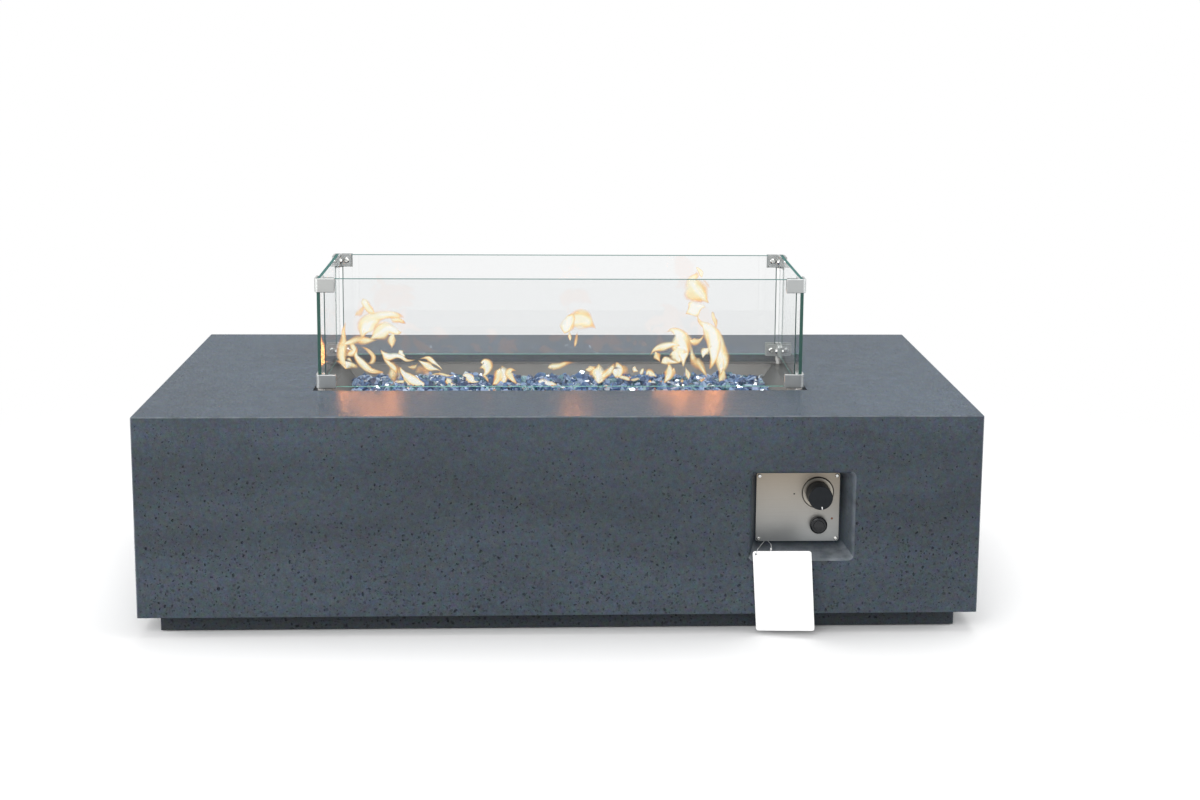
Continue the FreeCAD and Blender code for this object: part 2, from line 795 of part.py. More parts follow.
def pan_head_screw(diameter, head, head_height, length, x, face_y, z):
    """A screw with a domed head on a face that looks to the front, its shank running back."""
    dome = rod(head, head_height, Vec(x, face_y - head_height, z), Y_AXIS)
    rim = edges_at(dome, lambda p: near(p.y, face_y - head_height))
    dome = dome.makeFillet(head_height * 0.6, rim)
    slot = 0.18 * head
    for width, height in ((head * 0.55, slot), (slot, head * 0.55)):
        dome = dome.cut(block(x - width / 2, x + width / 2, face_y - head_height - 1,
                              face_y - head_height * 0.5, z - height / 2, z + height / 2))
    return dome.fuse(rod(diameter, length, Vec(x, face_y, z), Y_AXIS))


def plate_screws():
    """Four cross-head screws at the plate's corners."""
    screws = []
    for x, z in plate_screw_places():
        screws.append(pan_head_screw(plate_screw_diameter, plate_screw_head, 2.4,
                                     plate_screw_length - 2.4, x, plate_front_y, z))
    return Part.makeCompound(screws)


def plate_inserts():
    """Brass threaded inserts cast into the web behind the plate's corners."""
    inserts = []
    for x, z in plate_screw_places():
        sleeve = rod(insert_diameter, insert_length, Vec(x, web_front_y, z), Y_AXIS)
        bore = rod(plate_screw_diameter, insert_length - 1.5, Vec(x, web_front_y, z), Y_AXIS)
        inserts.append(sleeve.cut(bore))
    return Part.makeCompound(inserts)


def valve_axis_point(y):
    """A point on the valve's and the knob's common axis."""
    return Vec(knob_x, y, knob_z)


def valve_port_y():
    """Where the valve's inlet and sensor ports stand along its axis."""
    return valve_back_y - valve_port_diameter / 2 - 2.0


def valve_port_reach():
    """How far those two ports stand out from the valve's axis."""
    return valve_body_diameter / 2 + valve_port_length


def valve_body():
    """The brass valve body: a flange behind the plate, a bored barrel and three ports."""
    body = block(knob_x - valve_flange_width / 2, knob_x + valve_flange_width / 2,
                 web_front_y, web_front_y + valve_flange_thickness,
                 knob_z - valve_flange_height / 2, knob_z + valve_flange_height / 2)
    body = body.fuse(rod(valve_body_diameter, valve_body_length, valve_axis_point(web_front_y),
                         Y_AXIS))
    body = body.fuse(rod(valve_port_diameter, valve_port_length, valve_axis_point(valve_back_y),
                         Y_AXIS))
    for direction in (X_AXIS * -1, Z_AXIS):
        body = body.fuse(rod(valve_port_diameter, valve_port_reach(),
                             valve_axis_point(valve_port_y()), direction))
    bore = plug_diameter + 2 * running_clearance
    body = body.cut(rod(bore, plug_length + 2 * plug_play, valve_axis_point(plug_front_y - plug_play),
                        Y_AXIS))
    stem_bore = stem_diameter + 2 * running_clearance
    body = body.cut(rod(stem_bore, valve_nose + 1, valve_axis_point(web_front_y - 1), Y_AXIS))
    body = body.cut(rod(stem_bore, 8.0, valve_axis_point(plug_front_y + plug_length), Y_AXIS))
    for side in (-1, 1):
        place = Vec(knob_x + side * valve_screw_pitch / 2, web_front_y, knob_z)
        body = body.cut(rod(valve_screw_diameter, 6.5, place, Y_AXIS))
    return body.removeSplitter()


def valve_screws():
    """Two small screws through the plate into the valve's flange, hidden inside the knob."""
    screws = []
    for side in (-1, 1):
        x = knob_x + side * valve_screw_pitch / 2
        screws.append(pan_head_screw(valve_screw_diameter, valve_screw_head, 1.8, 7.5, x,
                                     plate_front_y, knob_z))
    return Part.makeCompound(screws)


def flatted(bar, diameter, flat):
    """A round bar along Y with one flat on its upper side."""
    bounds = bar.BoundBox
    cut = block(knob_x - diameter, knob_x + diameter, bounds.YMin - 1, bounds.YMax + 1,
                knob_z + diameter / 2 - flat, knob_z + diameter)
    return bar.cut(cut)


def valve_plug():
    """The turning plug that meters the gas, with a D-shaped hole for the stem."""
    plug = rod(plug_diameter, plug_length, valve_axis_point(plug_front_y), Y_AXIS)
    hole = stem_diameter + 2 * running_clearance
    bore = rod(hole, plug_length + 2, valve_axis_point(plug_front_y - 1), Y_AXIS)
    return plug.cut(flatted(bore, hole, stem_flat))


def valve_stem():
    """The flatted spindle from the knob into the plug."""
    front = knob_front_y + knob_wall + 1.0
    stem = rod(stem_diameter, stem_length, valve_axis_point(front), Y_AXIS)
    return flatted(stem, stem_diameter, stem_flat)


def control_knob():
    """The moulded knob: a hollow cup with a central hub that grips the stem."""
    knob = rod(knob_diameter, knob_length, valve_axis_point(knob_front_y), Y_AXIS)
    front_edge = edges_at(knob, lambda p: near(p.y, knob_front_y))
    knob = knob.makeFillet(knob_edge_radius, front_edge)
    hollow = rod(knob_diameter - 2 * knob_wall, knob_length, valve_axis_point(knob_front_y + 2 * knob_wall),
                 Y_AXIS)
    hub = rod(knob_hub, knob_length - 2 * knob_wall - knob_hub_inset,
              valve_axis_point(knob_front_y + 2 * knob_wall), Y_AXIS)
    knob = knob.cut(hollow).fuse(hub)
    front = knob_front_y + knob_wall + 1.0
    socket = rod(stem_diameter, knob_length, valve_axis_point(front), Y_AXIS)
    knob = knob.cut(flatted(socket, stem_diameter, stem_flat))
    return knob.cut(knob_pointer())


def knob_pointer():
    """The white line let into the knob's face, at its rim."""
    rim = knob_diameter / 2 - knob_edge_radius
    bar = block(knob_x - pointer_width / 2, knob_x + pointer_width / 2,
                knob_front_y, knob_front_y + pointer_depth,
                knob_z - rim, knob_z - rim + pointer_length)
    bar.rotate(valve_axis_point(0), Y_AXIS, -pointer_angle)
    return bar


def knob_bezel():
    """The polished ring on the plate round the knob's foot, sloping to its outer edge."""
    ring = rod(bezel_diameter, bezel_height, valve_axis_point(plate_front_y - bezel_height), Y_AXIS)
    front = edges_at(ring, lambda p: near(p.y, plate_front_y - bezel_height))
    ring = ring.makeChamfer(bezel_height - 1.0, front)
    return ring.cut(rod(bezel_bore, bezel_height + 2,
                        valve_axis_point(plate_front_y - bezel_height - 1), Y_AXIS))


def igniter_point(y):
    """A point on the igniter's axis."""
    return Vec(igniter_x, y, igniter_z)


def igniter_housing():
    """The igniter's barrel, with a rounded bezel in front of the plate and a battery well."""
    bezel = rod(igniter_bezel, igniter_bezel_height, igniter_point(igniter_front_y), Y_AXIS)
    rim = [e for e in edges_at(bezel, lambda p: near(p.y, igniter_front_y))]
    bezel = bezel.makeFillet(igniter_shoulder, rim)
    body = bezel.fuse(rod(igniter_body, igniter_length, igniter_point(plate_front_y), Y_AXIS))
    well = igniter_button + 2 * igniter_button_clearance
    body = body.cut(rod(well, igniter_well_y() - igniter_front_y, igniter_point(igniter_front_y),
                        Y_AXIS))
    battery_bore = battery_diameter + 2 * battery_play
    return body.cut(rod(battery_bore, battery_length + 0.5, igniter_point(igniter_well_y()), Y_AXIS))


def igniter_well_y():
    """The shoulder in the barrel where the battery's well begins."""
    button_back = igniter_front_y - igniter_button_proud + igniter_button_length
    return button_back + spring_turns * spring_wire * 2.4


def igniter_locknut():
    """The ring nut that holds the igniter from behind the plate."""
    nut = rod(igniter_nut, igniter_nut_height, igniter_point(web_front_y), Y_AXIS)
    return nut.cut(rod(igniter_body, igniter_nut_height + 2, igniter_point(web_front_y - 1), Y_AXIS))


def igniter_push_button():
    """The button that slides in the barrel, with a shallow dish in its face."""
    front = igniter_front_y - igniter_button_proud
    button = rod(igniter_button, igniter_button_length, igniter_point(front), Y_AXIS)
    rim = edges_at(button, lambda p: near(p.y, front))
    button = button.makeFillet(1.2, rim)
    dish_radius = 40.0
    dish = Part.makeSphere(dish_radius, igniter_point(front - dish_radius + 0.8))
    return button.cut(dish)


def igniter_spring():
    """The compression spring between the button and the battery, wound as one helix."""
    back_of_button = igniter_front_y - igniter_button_proud + igniter_button_length
    height = igniter_well_y() - back_of_button - spring_wire - 0.4
    radius = spring_diameter / 2 - spring_wire / 2
    start_y = back_of_button + spring_wire / 2 + 0.2
    quarter_turns = 4 * spring_turns
    rise = height / quarter_turns
    edges = []
    for quarter in range(quarter_turns):
        points = []
        for part in (0.0, 0.5, 1.0):
            angle = math.radians(90 * (quarter + part))
            points.append(Vec(igniter_x + radius * math.cos(angle),
                              start_y + rise * (quarter + part),
                              igniter_z + radius * math.sin(angle)))
        edges.append(Part.Arc(*points).toShape())
    path = Part.Wire(edges)
    tangent = edges[0].tangentAt(edges[0].FirstParameter)
    profile = Part.Wire(Part.makeCircle(spring_wire / 2, edges[0].Vertexes[0].Point, tangent))
    print("spring gap between turns", round(4 * rise - spring_wire, 2))
    return path.makePipeShell([profile], True, False)


def igniter_battery():
    """The small battery that powers the spark."""
    cell = rod(battery_diameter, battery_length - 1.0, igniter_point(igniter_well_y() + 1.0), Y_AXIS)
    return cell.fuse(rod(3.8, 1.0, igniter_point(igniter_well_y()), Y_AXIS))


def inlet_screw_places():
    """The four screws of the gas inlet's plate on the rear wall's inner face."""
    step = inlet_screw_pitch / 2
    return [(inlet_x + sx * step, inlet_z + sz * step) for sx in (-1, 1) for sz in (-1, 1)]


def inlet_screw_depth():
    """How far the inlet plate's screws go into the rear wall."""
    return shell_wall * 0.6


def inlet_mounting_plate():
    """The plate inside the rear wall that carries the gas inlet."""
    y0 = inner_rear_y - inlet_plate_thickness
    plate = block(inlet_x - inlet_plate / 2, inlet_x + inlet_plate / 2, y0, inner_rear_y,
                  inlet_z - inlet_plate / 2, inlet_z + inlet_plate / 2)
    upright = [e for e in plate.Edges if near(e.Length, inlet_plate_thickness)]
    plate = plate.makeFillet(5.0, upright)
    plate = plate.cut(rod(inlet_panel_thread + 0.4, 10, inlet_point(y0 - 5), Y_AXIS))
    for x, z in inlet_screw_places():
        plate = plate.cut(rod(inlet_screw_diameter + 0.5, 10, Vec(x, y0 - 5, z), Y_AXIS))
    return plate


def inlet_screws():
    """The screws of the inlet plate, driven from inside the table."""
    y0 = inner_rear_y - inlet_plate_thickness
    screws = []
    for x, z in inlet_screw_places():
        screws.append(pan_head_screw(inlet_screw_diameter, inlet_screw_head, 3.0,
                                     inlet_plate_thickness + inlet_screw_depth() - 0.5, x, y0, z))
    return Part.makeCompound(screws)


def gas_inlet_fitting():
    """The flare fitting that a gas hose screws onto, reached through the rear hole."""
    plate_y = inner_rear_y - inlet_plate_thickness
    neck_y = plate_y + inlet_panel_thread_length
    thread_y = neck_y + inlet_neck_length
    body = hexagon(inlet_hex_flats, inlet_hex_length, inlet_point(plate_y - inlet_hex_length), Y_AXIS)
    body = body.fuse(rod(inlet_panel_thread, inlet_panel_thread_length, inlet_point(plate_y), Y_AXIS))
    body = body.fuse(rod(inlet_neck, inlet_neck_length, inlet_point(neck_y), Y_AXIS))
    nose = rod(inlet_thread, inlet_thread_length, inlet_point(thread_y), Y_AXIS)
    tip = edges_at(nose, lambda p: near(p.y, thread_y + inlet_thread_length))
    body = body.fuse(nose.makeChamfer(1.0, tip))
    body = body.fuse(rod(inlet_tail, inlet_tail_length, inlet_point(inlet_back_y()), Y_AXIS))
    through = thread_y + inlet_thread_length - inlet_back_y() + 2
    return body.cut(rod(inlet_bore, through, inlet_point(inlet_back_y() - 1), Y_AXIS))


def inlet_locknut():
    """The nut that holds the inlet fitting to its plate, inside the rear hole."""
    start = inlet_point(inner_rear_y)
    nut = hexagon(inlet_hex_flats, inlet_locknut_height, start, Y_AXIS)
    return nut.cut(rod(inlet_panel_thread, inlet_locknut_height + 2, start - Y_AXIS, Y_AXIS))


def inlet_point(y):
    """A point on the gas inlet's axis."""
    return Vec(inlet_x, y, inlet_z)


def inlet_back_y():
    """The inner end of the inlet fitting."""
    return inner_rear_y - inlet_plate_thickness - inlet_hex_length - inlet_tail_length


def burner_pipe():
    """The gas pipe from the valve's outlet to the jet under the burner."""
    low_z = orifice_bottom_z - pipe_drop
    start = valve_axis_point(valve_back_y + valve_port_length)
    turn_y = start.y + pipe_reach
    points = [start, Vec(knob_x, turn_y, knob_z), Vec(knob_x, turn_y, low_z),
              Vec(0, turn_y, low_z), Vec(0, 0, low_z), Vec(0, 0, orifice_bottom_z)]
    return pipe_along(points, pipe_diameter, pipe_bend)


def inlet_pipe():
    """The gas pipe from the inlet fitting to the left side of the valve."""
    port = valve_axis_point(valve_port_y()) - X_AXIS * valve_port_reach()
    points = [inlet_point(inlet_back_y()), inlet_point(port.y),
              Vec(inlet_x, port.y, port.z), port]
    return pipe_along(points, pipe_diameter, pipe_bend)


def flare_nuts():
    """The four nuts that join the pipes to the jet, the valve and the inlet."""
    port = valve_axis_point(valve_port_y()) - X_AXIS * valve_port_reach()
    ends = [(Vec(0, 0, orifice_bottom_z), Z_AXIS * -1), (port, X_AXIS * -1),
            (valve_axis_point(valve_back_y + valve_port_length), Y_AXIS),
            (inlet_point(inlet_back_y()), Y_AXIS * -1)]
    nuts = []
    for start, axis in ends:
        nut = hexagon(flare_nut_flats, flare_nut_length, start, axis)
        nuts.append(nut.cut(rod(pipe_diameter, flare_nut_length + 2, start - axis, axis)))
    return Part.makeCompound(nuts)


def thermocouple_lead():
    """The thin copper lead from the flame sensor to the valve's upper port."""
    x = sensor_places()[0]
    port = valve_axis_point(valve_port_y()) + Z_AXIS * valve_port_reach()
    back_y = port.y + lead_reach
    high_z = port.z + lead_bend + 2.0
    points = [Vec(x, hood_y, pan_floor_z), Vec(x, hood_y, pan_floor_z - 2 * lead_bend),
              Vec(x, back_y, high_z), Vec(knob_x, back_y, high_z),
              Vec(knob_x, port.y, high_z), port]
    return pipe_along(points, lead_diameter, lead_bend)


def ignition_wire():
    """The insulated wire from the igniter's end to the spark electrode."""
    x = sensor_places()[1]
    start = igniter_point(plate_front_y + igniter_length)
    turn_y = start.y + wire_bend + 2.0
    points = [start, Vec(igniter_x, turn_y, igniter_z),
              Vec(igniter_x - wire_sideways, turn_y, igniter_z),
              Vec(x, hood_y, pan_floor_z - wire_drop), Vec(x, hood_y, pan_floor_z)]
    return pipe_along(points, wire_diameter, wire_bend)


def pane(length, along_x, centre_x, centre_y):
    """A tempered-glass pane with ground arrises."""
    size_x = length if along_x else glass_thickness
    size_y = glass_thickness if along_x else length
    glass = centred_block(size_x, size_y, pane_bottom_z, pane_top_z, centre_x, centre_y)
    return glass.makeChamfer(pane_arris, glass.Edges)


def pane_place(side, along_x):
    """The centre of the front, rear, left or right pane."""
    across = guard_depth if along_x else guard_length
    offset = side * (across / 2 - glass_thickness / 2)
    return (0.0, offset) if along_x else (offset, 0.0)


def guard_pane(side, along_x):
    """One pane of the guard: the long ones stop short of the side ones, which run full depth."""
    length = 2 * long_pane_end if along_x else guard_depth
    x, y = pane_place(side, along_x)
    return pane(length, along_x, x, y)


def clip_bands(upper):
    """The lowest and highest points of a clip, and of its inner plates."""
    if upper:
        high = pane_top_z + clip_overlap
        return high - clip_height, high, high - clip_inner_height, high
    low = pane_bottom_z - liner_thickness - clip_floor
    return low, low + clip_height, low, low + clip_inner_height


def clip_blank(low, high):
    """The solid L of a clip before its slots, with a round corner and rounded outer edges."""
    leg_x = block(clip_outer_x - clip_leg, clip_outer_x, clip_outer_y - clip_depth, clip_outer_y,
                  low, high)
    leg_y = block(clip_outer_x - clip_depth, clip_outer_x, clip_outer_y - clip_leg, clip_outer_y,
                  low, high)
    clip = leg_x.fuse(leg_y).removeSplitter()
    corner = edges_at(clip, lambda p: near(p.x, clip_outer_x) and near(p.y, clip_outer_y))
    clip = clip.makeFillet(clip_radius, corner)
    outside = []
    for edge in clip.Edges:
        ends = [v.Point for v in edge.Vertexes]
        on_face = all(p.x > clip_outer_x - clip_radius - 0.01 and near(p.y, clip_outer_y)
                      or p.y > clip_outer_y - clip_radius - 0.01 and near(p.x, clip_outer_x)
                      for p in ends)
        on_face = on_face or all(near(p.x, clip_outer_x) for p in ends)
        on_face = on_face or all(near(p.y, clip_outer_y) for p in ends)
        level = near(ends[0].z, ends[-1].z)
        free_end = near(ends[0].x, clip_outer_x - clip_leg) or near(ends[0].y, clip_outer_y - clip_leg)
        if on_face and (level or free_end):
            outside.append(edge)
    return clip.makeFillet(clip_edge_radius, outside)


def corner_clip(sx, sy, upper):
    """A cast corner clip: two outer plates round the corner, two inner plates and a core.

    It is drawn for the corner at plus X and plus Y, then mirrored to its own corner.
    """
    low, high, inner_low, inner_high = clip_bands(upper)
    clip = clip_blank(low, high)
    slot_floor = low - 1 if upper else pane_bottom_z - liner_thickness
    slot = glass_thickness + 2 * liner_thickness
    slot_outer_x = guard_length / 2 + liner_thickness
    slot_outer_y = guard_depth / 2 + liner_thickness
    clip = clip.cut(block(clip_outer_x - clip_leg - 1, long_pane_end + liner_thickness,
                          slot_outer_y - slot, slot_outer_y, slot_floor, high + 1))
    clip = clip.cut(block(slot_outer_x - slot, slot_outer_x, clip_outer_y - clip_leg - 1,
                          slot_outer_y, slot_floor, high + 1))
    for along_x in (True, False):
        clip = clip.cut(inner_plate_trim(upper, along_x))
        place, axis = clamp_screw_place(1, 1, upper, along_x)
        clip = clip.cut(rod(clamp_screw_diameter, clip_plate, place, axis))
    return mirrored(clip, sx, sy)


def inner_plate_trim(upper, along_x):
    """What is cut off an inner plate: its end, its long edge and the corner between them."""
    low, high, inner_low, inner_high = clip_bands(upper)
    outer = clip_outer_x if along_x else clip_outer_y
    face = (clip_outer_y if along_x else clip_outer_x) - clip_depth
    end = outer - clip_leg + clip_inner_setback
    stop = outer - clip_depth
    edge_z = inner_low if upper else inner_high
    past_z = low - 1 if upper else high + 1
    inward = clip_inner_chamfer if upper else -clip_inner_chamfer
    far_z = high + 1 if upper else low - 1
    outline = [(end - 10, past_z), (stop, past_z), (stop, edge_z), (end + clip_inner_chamfer, edge_z),
               (end, edge_z + inward), (end, far_z), (end - 10, far_z)]
    if along_x:
        points = [Vec(run, face, z) for run, z in outline]
        return Part.Face(Part.makePolygon(points + points[:1])).extrude(Vec(0, clip_plate, 0))
    points = [Vec(face, run, z) for run, z in outline]
    return Part.Face(Part.makePolygon(points + points[:1])).extrude(Vec(clip_plate, 0, 0))


def mirrored(shape, sx, sy):
    """The shape reflected to the corner with these signs."""
    if sx < 0:
        shape = shape.mirror(Vec(0, 0, 0), X_AXIS)
    if sy < 0:
        shape = shape.mirror(Vec(0, 0, 0), Y_AXIS)
    return shape


def clamp_screw_place(sx, sy, upper, along_x):
    """The inner face of a clip's plate where a clamp screw enters, and the way it points."""
    low, high, inner_low, inner_high = clip_bands(upper)
    z = (inner_low + inner_high) / 2
    if along_x:
        place = Vec(sx * (clip_outer_x - clamp_screw_from_corner),
                    sy * (clip_outer_y - clip_depth), z)
        return place, Vec(0, sy, 0)
    place = Vec(sx * (clip_outer_x - clip_depth),
                sy * (clip_outer_y - clamp_screw_from_corner), z)
    return place, Vec(sx, 0, 0)


def corners():
    """The signs of the guard's four corners."""
    return [(sx, sy) for sx in (-1, 1) for sy in (-1, 1)]


def clamp_screws():
    """Button-head screws through the inner plates, which press the panes on their liners."""
    screws = []
    for sx, sy in corners():
        for upper in (False, True):
            for along_x in (True, False):
                place, axis = clamp_screw_place(sx, sy, upper, along_x)
                base = place - axis * clamp_head_height
                head = Part.makeCone(clamp_head_diameter * 0.32, clamp_head_diameter / 2,
                                     clamp_head_height * 0.75, base, axis)
                head = head.fuse(rod(clamp_head_diameter, clamp_head_height * 0.25,
                                     base + axis * (clamp_head_height * 0.75), axis))
                head = head.cut(hexagon(clamp_socket, 2.0, base, axis))
                screws.append(head.fuse(rod(clamp_screw_diameter, clip_plate, place, axis)))
    return Part.makeCompound(screws)


def liner(sx, sy, upper, along_x):
    """A soft U-shaped liner round the end of a pane inside a clip."""
    low, high, inner_low, inner_high = clip_bands(upper)
    base = inner_low if upper else pane_bottom_z - liner_thickness
    top = pane_top_z if upper else inner_high
    end = (long_pane_end if along_x else guard_depth / 2) + liner_thickness
    start = (clip_outer_x if along_x else clip_outer_y) - clip_leg
    mid = (guard_depth if along_x else guard_length) / 2 - glass_thickness / 2
    half = glass_thickness / 2
    wall = half + liner_thickness
    hollow_low = base - 1 if upper else pane_bottom_z
    if along_x:
        body = block(start, end, mid - wall, mid + wall, base, top)
        hollow = block(start - 1, end - liner_thickness, mid - half, mid + half, hollow_low, top + 1)
    else:
        body = block(mid - wall, mid + wall, start, end, base, top)
        hollow = block(mid - half, mid + half, start - 1, end - liner_thickness, hollow_low, top + 1)
    return mirrored(body.cut(hollow), sx, sy)


def clip_liners():
    """All the liners, two in each clip."""
    liners = []
    for sx, sy in corners():
        for upper in (False, True):
            for along_x in (True, False):
                liners.append(liner(sx, sy, upper, along_x))
    return Part.makeCompound(liners)


def foot_place(sx, sy):
    """The axis of the foot under a lower clip."""
    return sx * (guard_length / 2 - foot_inset_x), sy * (guard_depth / 2 - foot_inset_y)


def guard_feet():
    """The four turned feet that stand the guard on the pan's flange."""
    low = clip_bands(False)[0]
    feet = []
    for sx, sy in corners():
        x, y = foot_place(sx, sy)
        collar = rod(foot_collar, foot_collar_height, Vec(x, y, low - foot_collar_height), Z_AXIS)
        tip_length = low - foot_collar_height - foot_z
        feet.append(collar.fuse(rod(foot_tip, tip_length, Vec(x, y, foot_z), Z_AXIS)))
    return Part.makeCompound(feet)


def tag_placement():
    """How the card hangs: rolled a little in its own plane and turned off the face."""
    roll = FreeCAD.Rotation(Y_AXIS, -tag_roll)
    yaw = FreeCAD.Rotation(Z_AXIS, -tag_yaw)
    return FreeCAD.Placement(tag_corner, yaw.multiply(roll))


def hang_tag():
    """The plain card, with rounded corners and one punched hole."""
    card = rounded_plate(tag_width, tag_height, tag_corner_radius, tag_thickness,
                         tag_width / 2, 0, -tag_height / 2)
    hole = rod(tag_hole, 10, Vec(tag_hole_inset, -5, -tag_hole_inset), Y_AXIS)
    card = card.cut(hole)
    card.Placement = tag_placement()
    return card


def string_route():
    """The string's points: from the plate's lower edge, over the card and through it, and back."""
    return [Vec(348.2, -301.6, 145.4), Vec(342.0, -317.0, 145.2), Vec(336.6, -338.0, 147.8),
            Vec(331.2, -354.6, 149.4), Vec(328.6, -361.8, 147.4), Vec(327.5, -362.0, 143.0),
            Vec(328.2, -358.6, 139.6), Vec(334.5, -356.5, 137.2), Vec(346.5, -353.6, 137.0),
            Vec(353.6, -351.2, 142.0), Vec(354.6, -348.0, 151.4), Vec(355.4, -337.0, 151.8),
            Vec(355.6, -318.0, 147.6), Vec(354.9, -301.6, 145.4)]


def routed_tube(points, diameter):
    """A tube along hand-placed points, each corner rounded as far as its two runs allow."""
    edges = []
    start = points[0]
    radii = []
    for before, corner, after in zip(points, points[1:], points[2:]):
        into = corner - before
        out = after - corner
        half_turn = into.getAngle(out) / 2
        shorter = min(into.Length, out.Length)
        setback = 0.45 * shorter
        radius = setback / math.tan(half_turn)
        into.normalize()
        out.normalize()
        first = corner - into * setback
        last = corner + out * setback
        bisector = (out - into).normalize()
        centre = corner + bisector * (radius / math.cos(half_turn))
        edges.append(Part.makeLine(start, first))
        edges.append(Part.Arc(first, centre - bisector * radius, last).toShape())
        radii.append(round(radius, 1))
        start = last
    edges.append(Part.makeLine(start, points[-1]))
    path = Part.Wire(edges)
    profile = Part.Wire(Part.makeCircle(diameter / 2, points[0], points[1] - points[0]))
    tube = path.makePipeShell([profile], True, False)
    ideal = math.pi * diameter ** 2 / 4 * path.Length
    print("string radii", radii)
    print("string length", round(path.Length, 1), "volume ratio", round(tube.Volume / ideal, 5))
    return tube


def tag_string():
    """The clear cord that ties the card to the plate."""
    return routed_tube(string_route(), string_diameter)


def tag_ferrule():
    """The small crimped sleeve on the string, just behind the card's top edge."""
    lower, upper = string_route()[9:11]
    axis = (upper - lower).normalize()
    start = (lower + upper) / 2 - axis * (ferrule_length / 2)
    sleeve = rod(ferrule_diameter, ferrule_length, start, axis)
    bore = rod(string_diameter + 2 * ferrule_play, ferrule_length + 2, start - axis, axis)
    return sleeve.cut(bore)


def export(name, shape):
    """Write one sub-part."""
    if not shape.isValid():
        raise ValueError(name + " isn't a valid solid")
    shape.exportStep("parts/" + name + ".step")
    print(name, len(shape.Solids), "solids", round(shape.Volume / 1000, 2), "cm3")


def build():
    """Make every sub-part and write it."""
    os.makedirs("parts", exist_ok=True)
    pieces = [concrete_shell, base_plinth, plinth_bolts, foot_pads, tray_gasket, burner_pan, burner,
              burner_nipple, burner_locknuts, burner_stands, air_mixer, gas_orifice, sensor_hood,
              thermocouple_probe, spark_insulator, spark_electrode, wire_grommets, fire_glass,
              control_plate, plate_screws, plate_inserts, valve_body, valve_screws, valve_plug,
              valve_stem, control_knob, knob_pointer, knob_bezel, igniter_housing, igniter_locknut,
              igniter_push_button, igniter_spring, igniter_battery, inlet_mounting_plate,
              inlet_screws, gas_inlet_fitting, inlet_locknut, burner_pipe, inlet_pipe, flare_nuts,
              thermocouple_lead, ignition_wire, clamp_screws, clip_liners, guard_feet, hang_tag,
              tag_string, tag_ferrule]
    for piece in pieces:
        export(piece.__name__, piece())
    export("glass_pane_front", guard_pane(-1, True))
    export("glass_pane_rear", guard_pane(1, True))
    export("glass_pane_left", guard_pane(-1, False))
    export("glass_pane_right", guard_pane(1, False))
    for sx, sy in corners():
        place = ("front" if sy < 0 else "rear") + "_" + ("left" if sx < 0 else "right")
        export("clip_lower_" + place, corner_clip(sx, sy, False))
        export("clip_upper_" + place, corner_clip(sx, sy, True))


build()
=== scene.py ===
import math
import random

import bmesh
import bpy
from mathutils import Matrix, Vector, noise
from mathutils.bvhtree import BVHTree


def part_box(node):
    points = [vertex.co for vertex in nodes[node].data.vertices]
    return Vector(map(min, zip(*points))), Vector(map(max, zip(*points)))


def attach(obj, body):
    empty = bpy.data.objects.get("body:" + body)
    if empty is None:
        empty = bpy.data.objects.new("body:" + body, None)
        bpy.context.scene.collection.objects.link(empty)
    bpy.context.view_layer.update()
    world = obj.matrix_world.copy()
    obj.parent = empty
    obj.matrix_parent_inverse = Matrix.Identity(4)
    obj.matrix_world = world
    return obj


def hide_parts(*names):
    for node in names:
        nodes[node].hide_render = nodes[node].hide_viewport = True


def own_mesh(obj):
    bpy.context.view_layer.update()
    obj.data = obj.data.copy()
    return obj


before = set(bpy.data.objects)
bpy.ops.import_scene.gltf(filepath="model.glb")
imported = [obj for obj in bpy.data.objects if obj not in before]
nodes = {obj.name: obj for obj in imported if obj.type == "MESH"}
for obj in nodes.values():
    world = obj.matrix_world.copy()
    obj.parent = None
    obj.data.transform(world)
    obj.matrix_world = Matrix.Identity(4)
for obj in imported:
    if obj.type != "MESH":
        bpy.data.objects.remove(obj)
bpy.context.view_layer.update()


# The studio. A white floor that keeps the table's soft shadow, a white surround, two large soft
# lamps, one above the table and one above the camera, and a low one at each end.
def node(tree, kind, inputs=None, **options):
    """Adds a node, sets its options, and sets or links its inputs, which go by name or number."""
    made = tree.nodes.new(kind)
    for name, value in options.items():
        setattr(made, name, value)
    for name, value in (inputs or {}).items():
        if isinstance(value, bpy.types.NodeSocket):
            tree.links.new(value, made.inputs[name])
        else:
            made.inputs[name].default_value = value
    return made


def maths(tree, operation, first, second=0.5, third=0.5):
    return node(tree, "ShaderNodeMath", {0: first, 1: second, 2: third}, operation=operation).outputs[0]


def remap(tree, value, low, high, to_low=0.0, to_high=1.0, smooth=False):
    """Carries a value from one range into another, and clamps it there."""
    kind = "SMOOTHSTEP" if smooth else "LINEAR"
    ends = {"Value": value, "From Min": low, "From Max": high, "To Min": to_low, "To Max": to_high}
    return node(tree, "ShaderNodeMapRange", ends, interpolation_type=kind).outputs[0]


def blank_tree(owner):
    """The empty node tree of a material or world."""
    owner.use_nodes = True
    owner.node_tree.nodes.clear()
    return owner.node_tree


def seen_directly(tree):
    """1 for what the camera sees, straight or through glass or in a mirror, and 0 for lighting."""
    rays = node(tree, "ShaderNodeLightPath").outputs
    seen = maths(tree, "MAXIMUM", rays["Is Camera Ray"], rays["Is Glossy Ray"])
    return maths(tree, "MAXIMUM", seen, rays["Is Transmission Ray"])


def deselect():
    for thing in bpy.context.selected_objects:
        thing.select_set(False)


white = (1, 1, 1, 1)
ambient = 0.55
floor_size = 14.0
floor_grey = 0.92
floor_fades_from = 0.85
floor_fades_to = 1.9

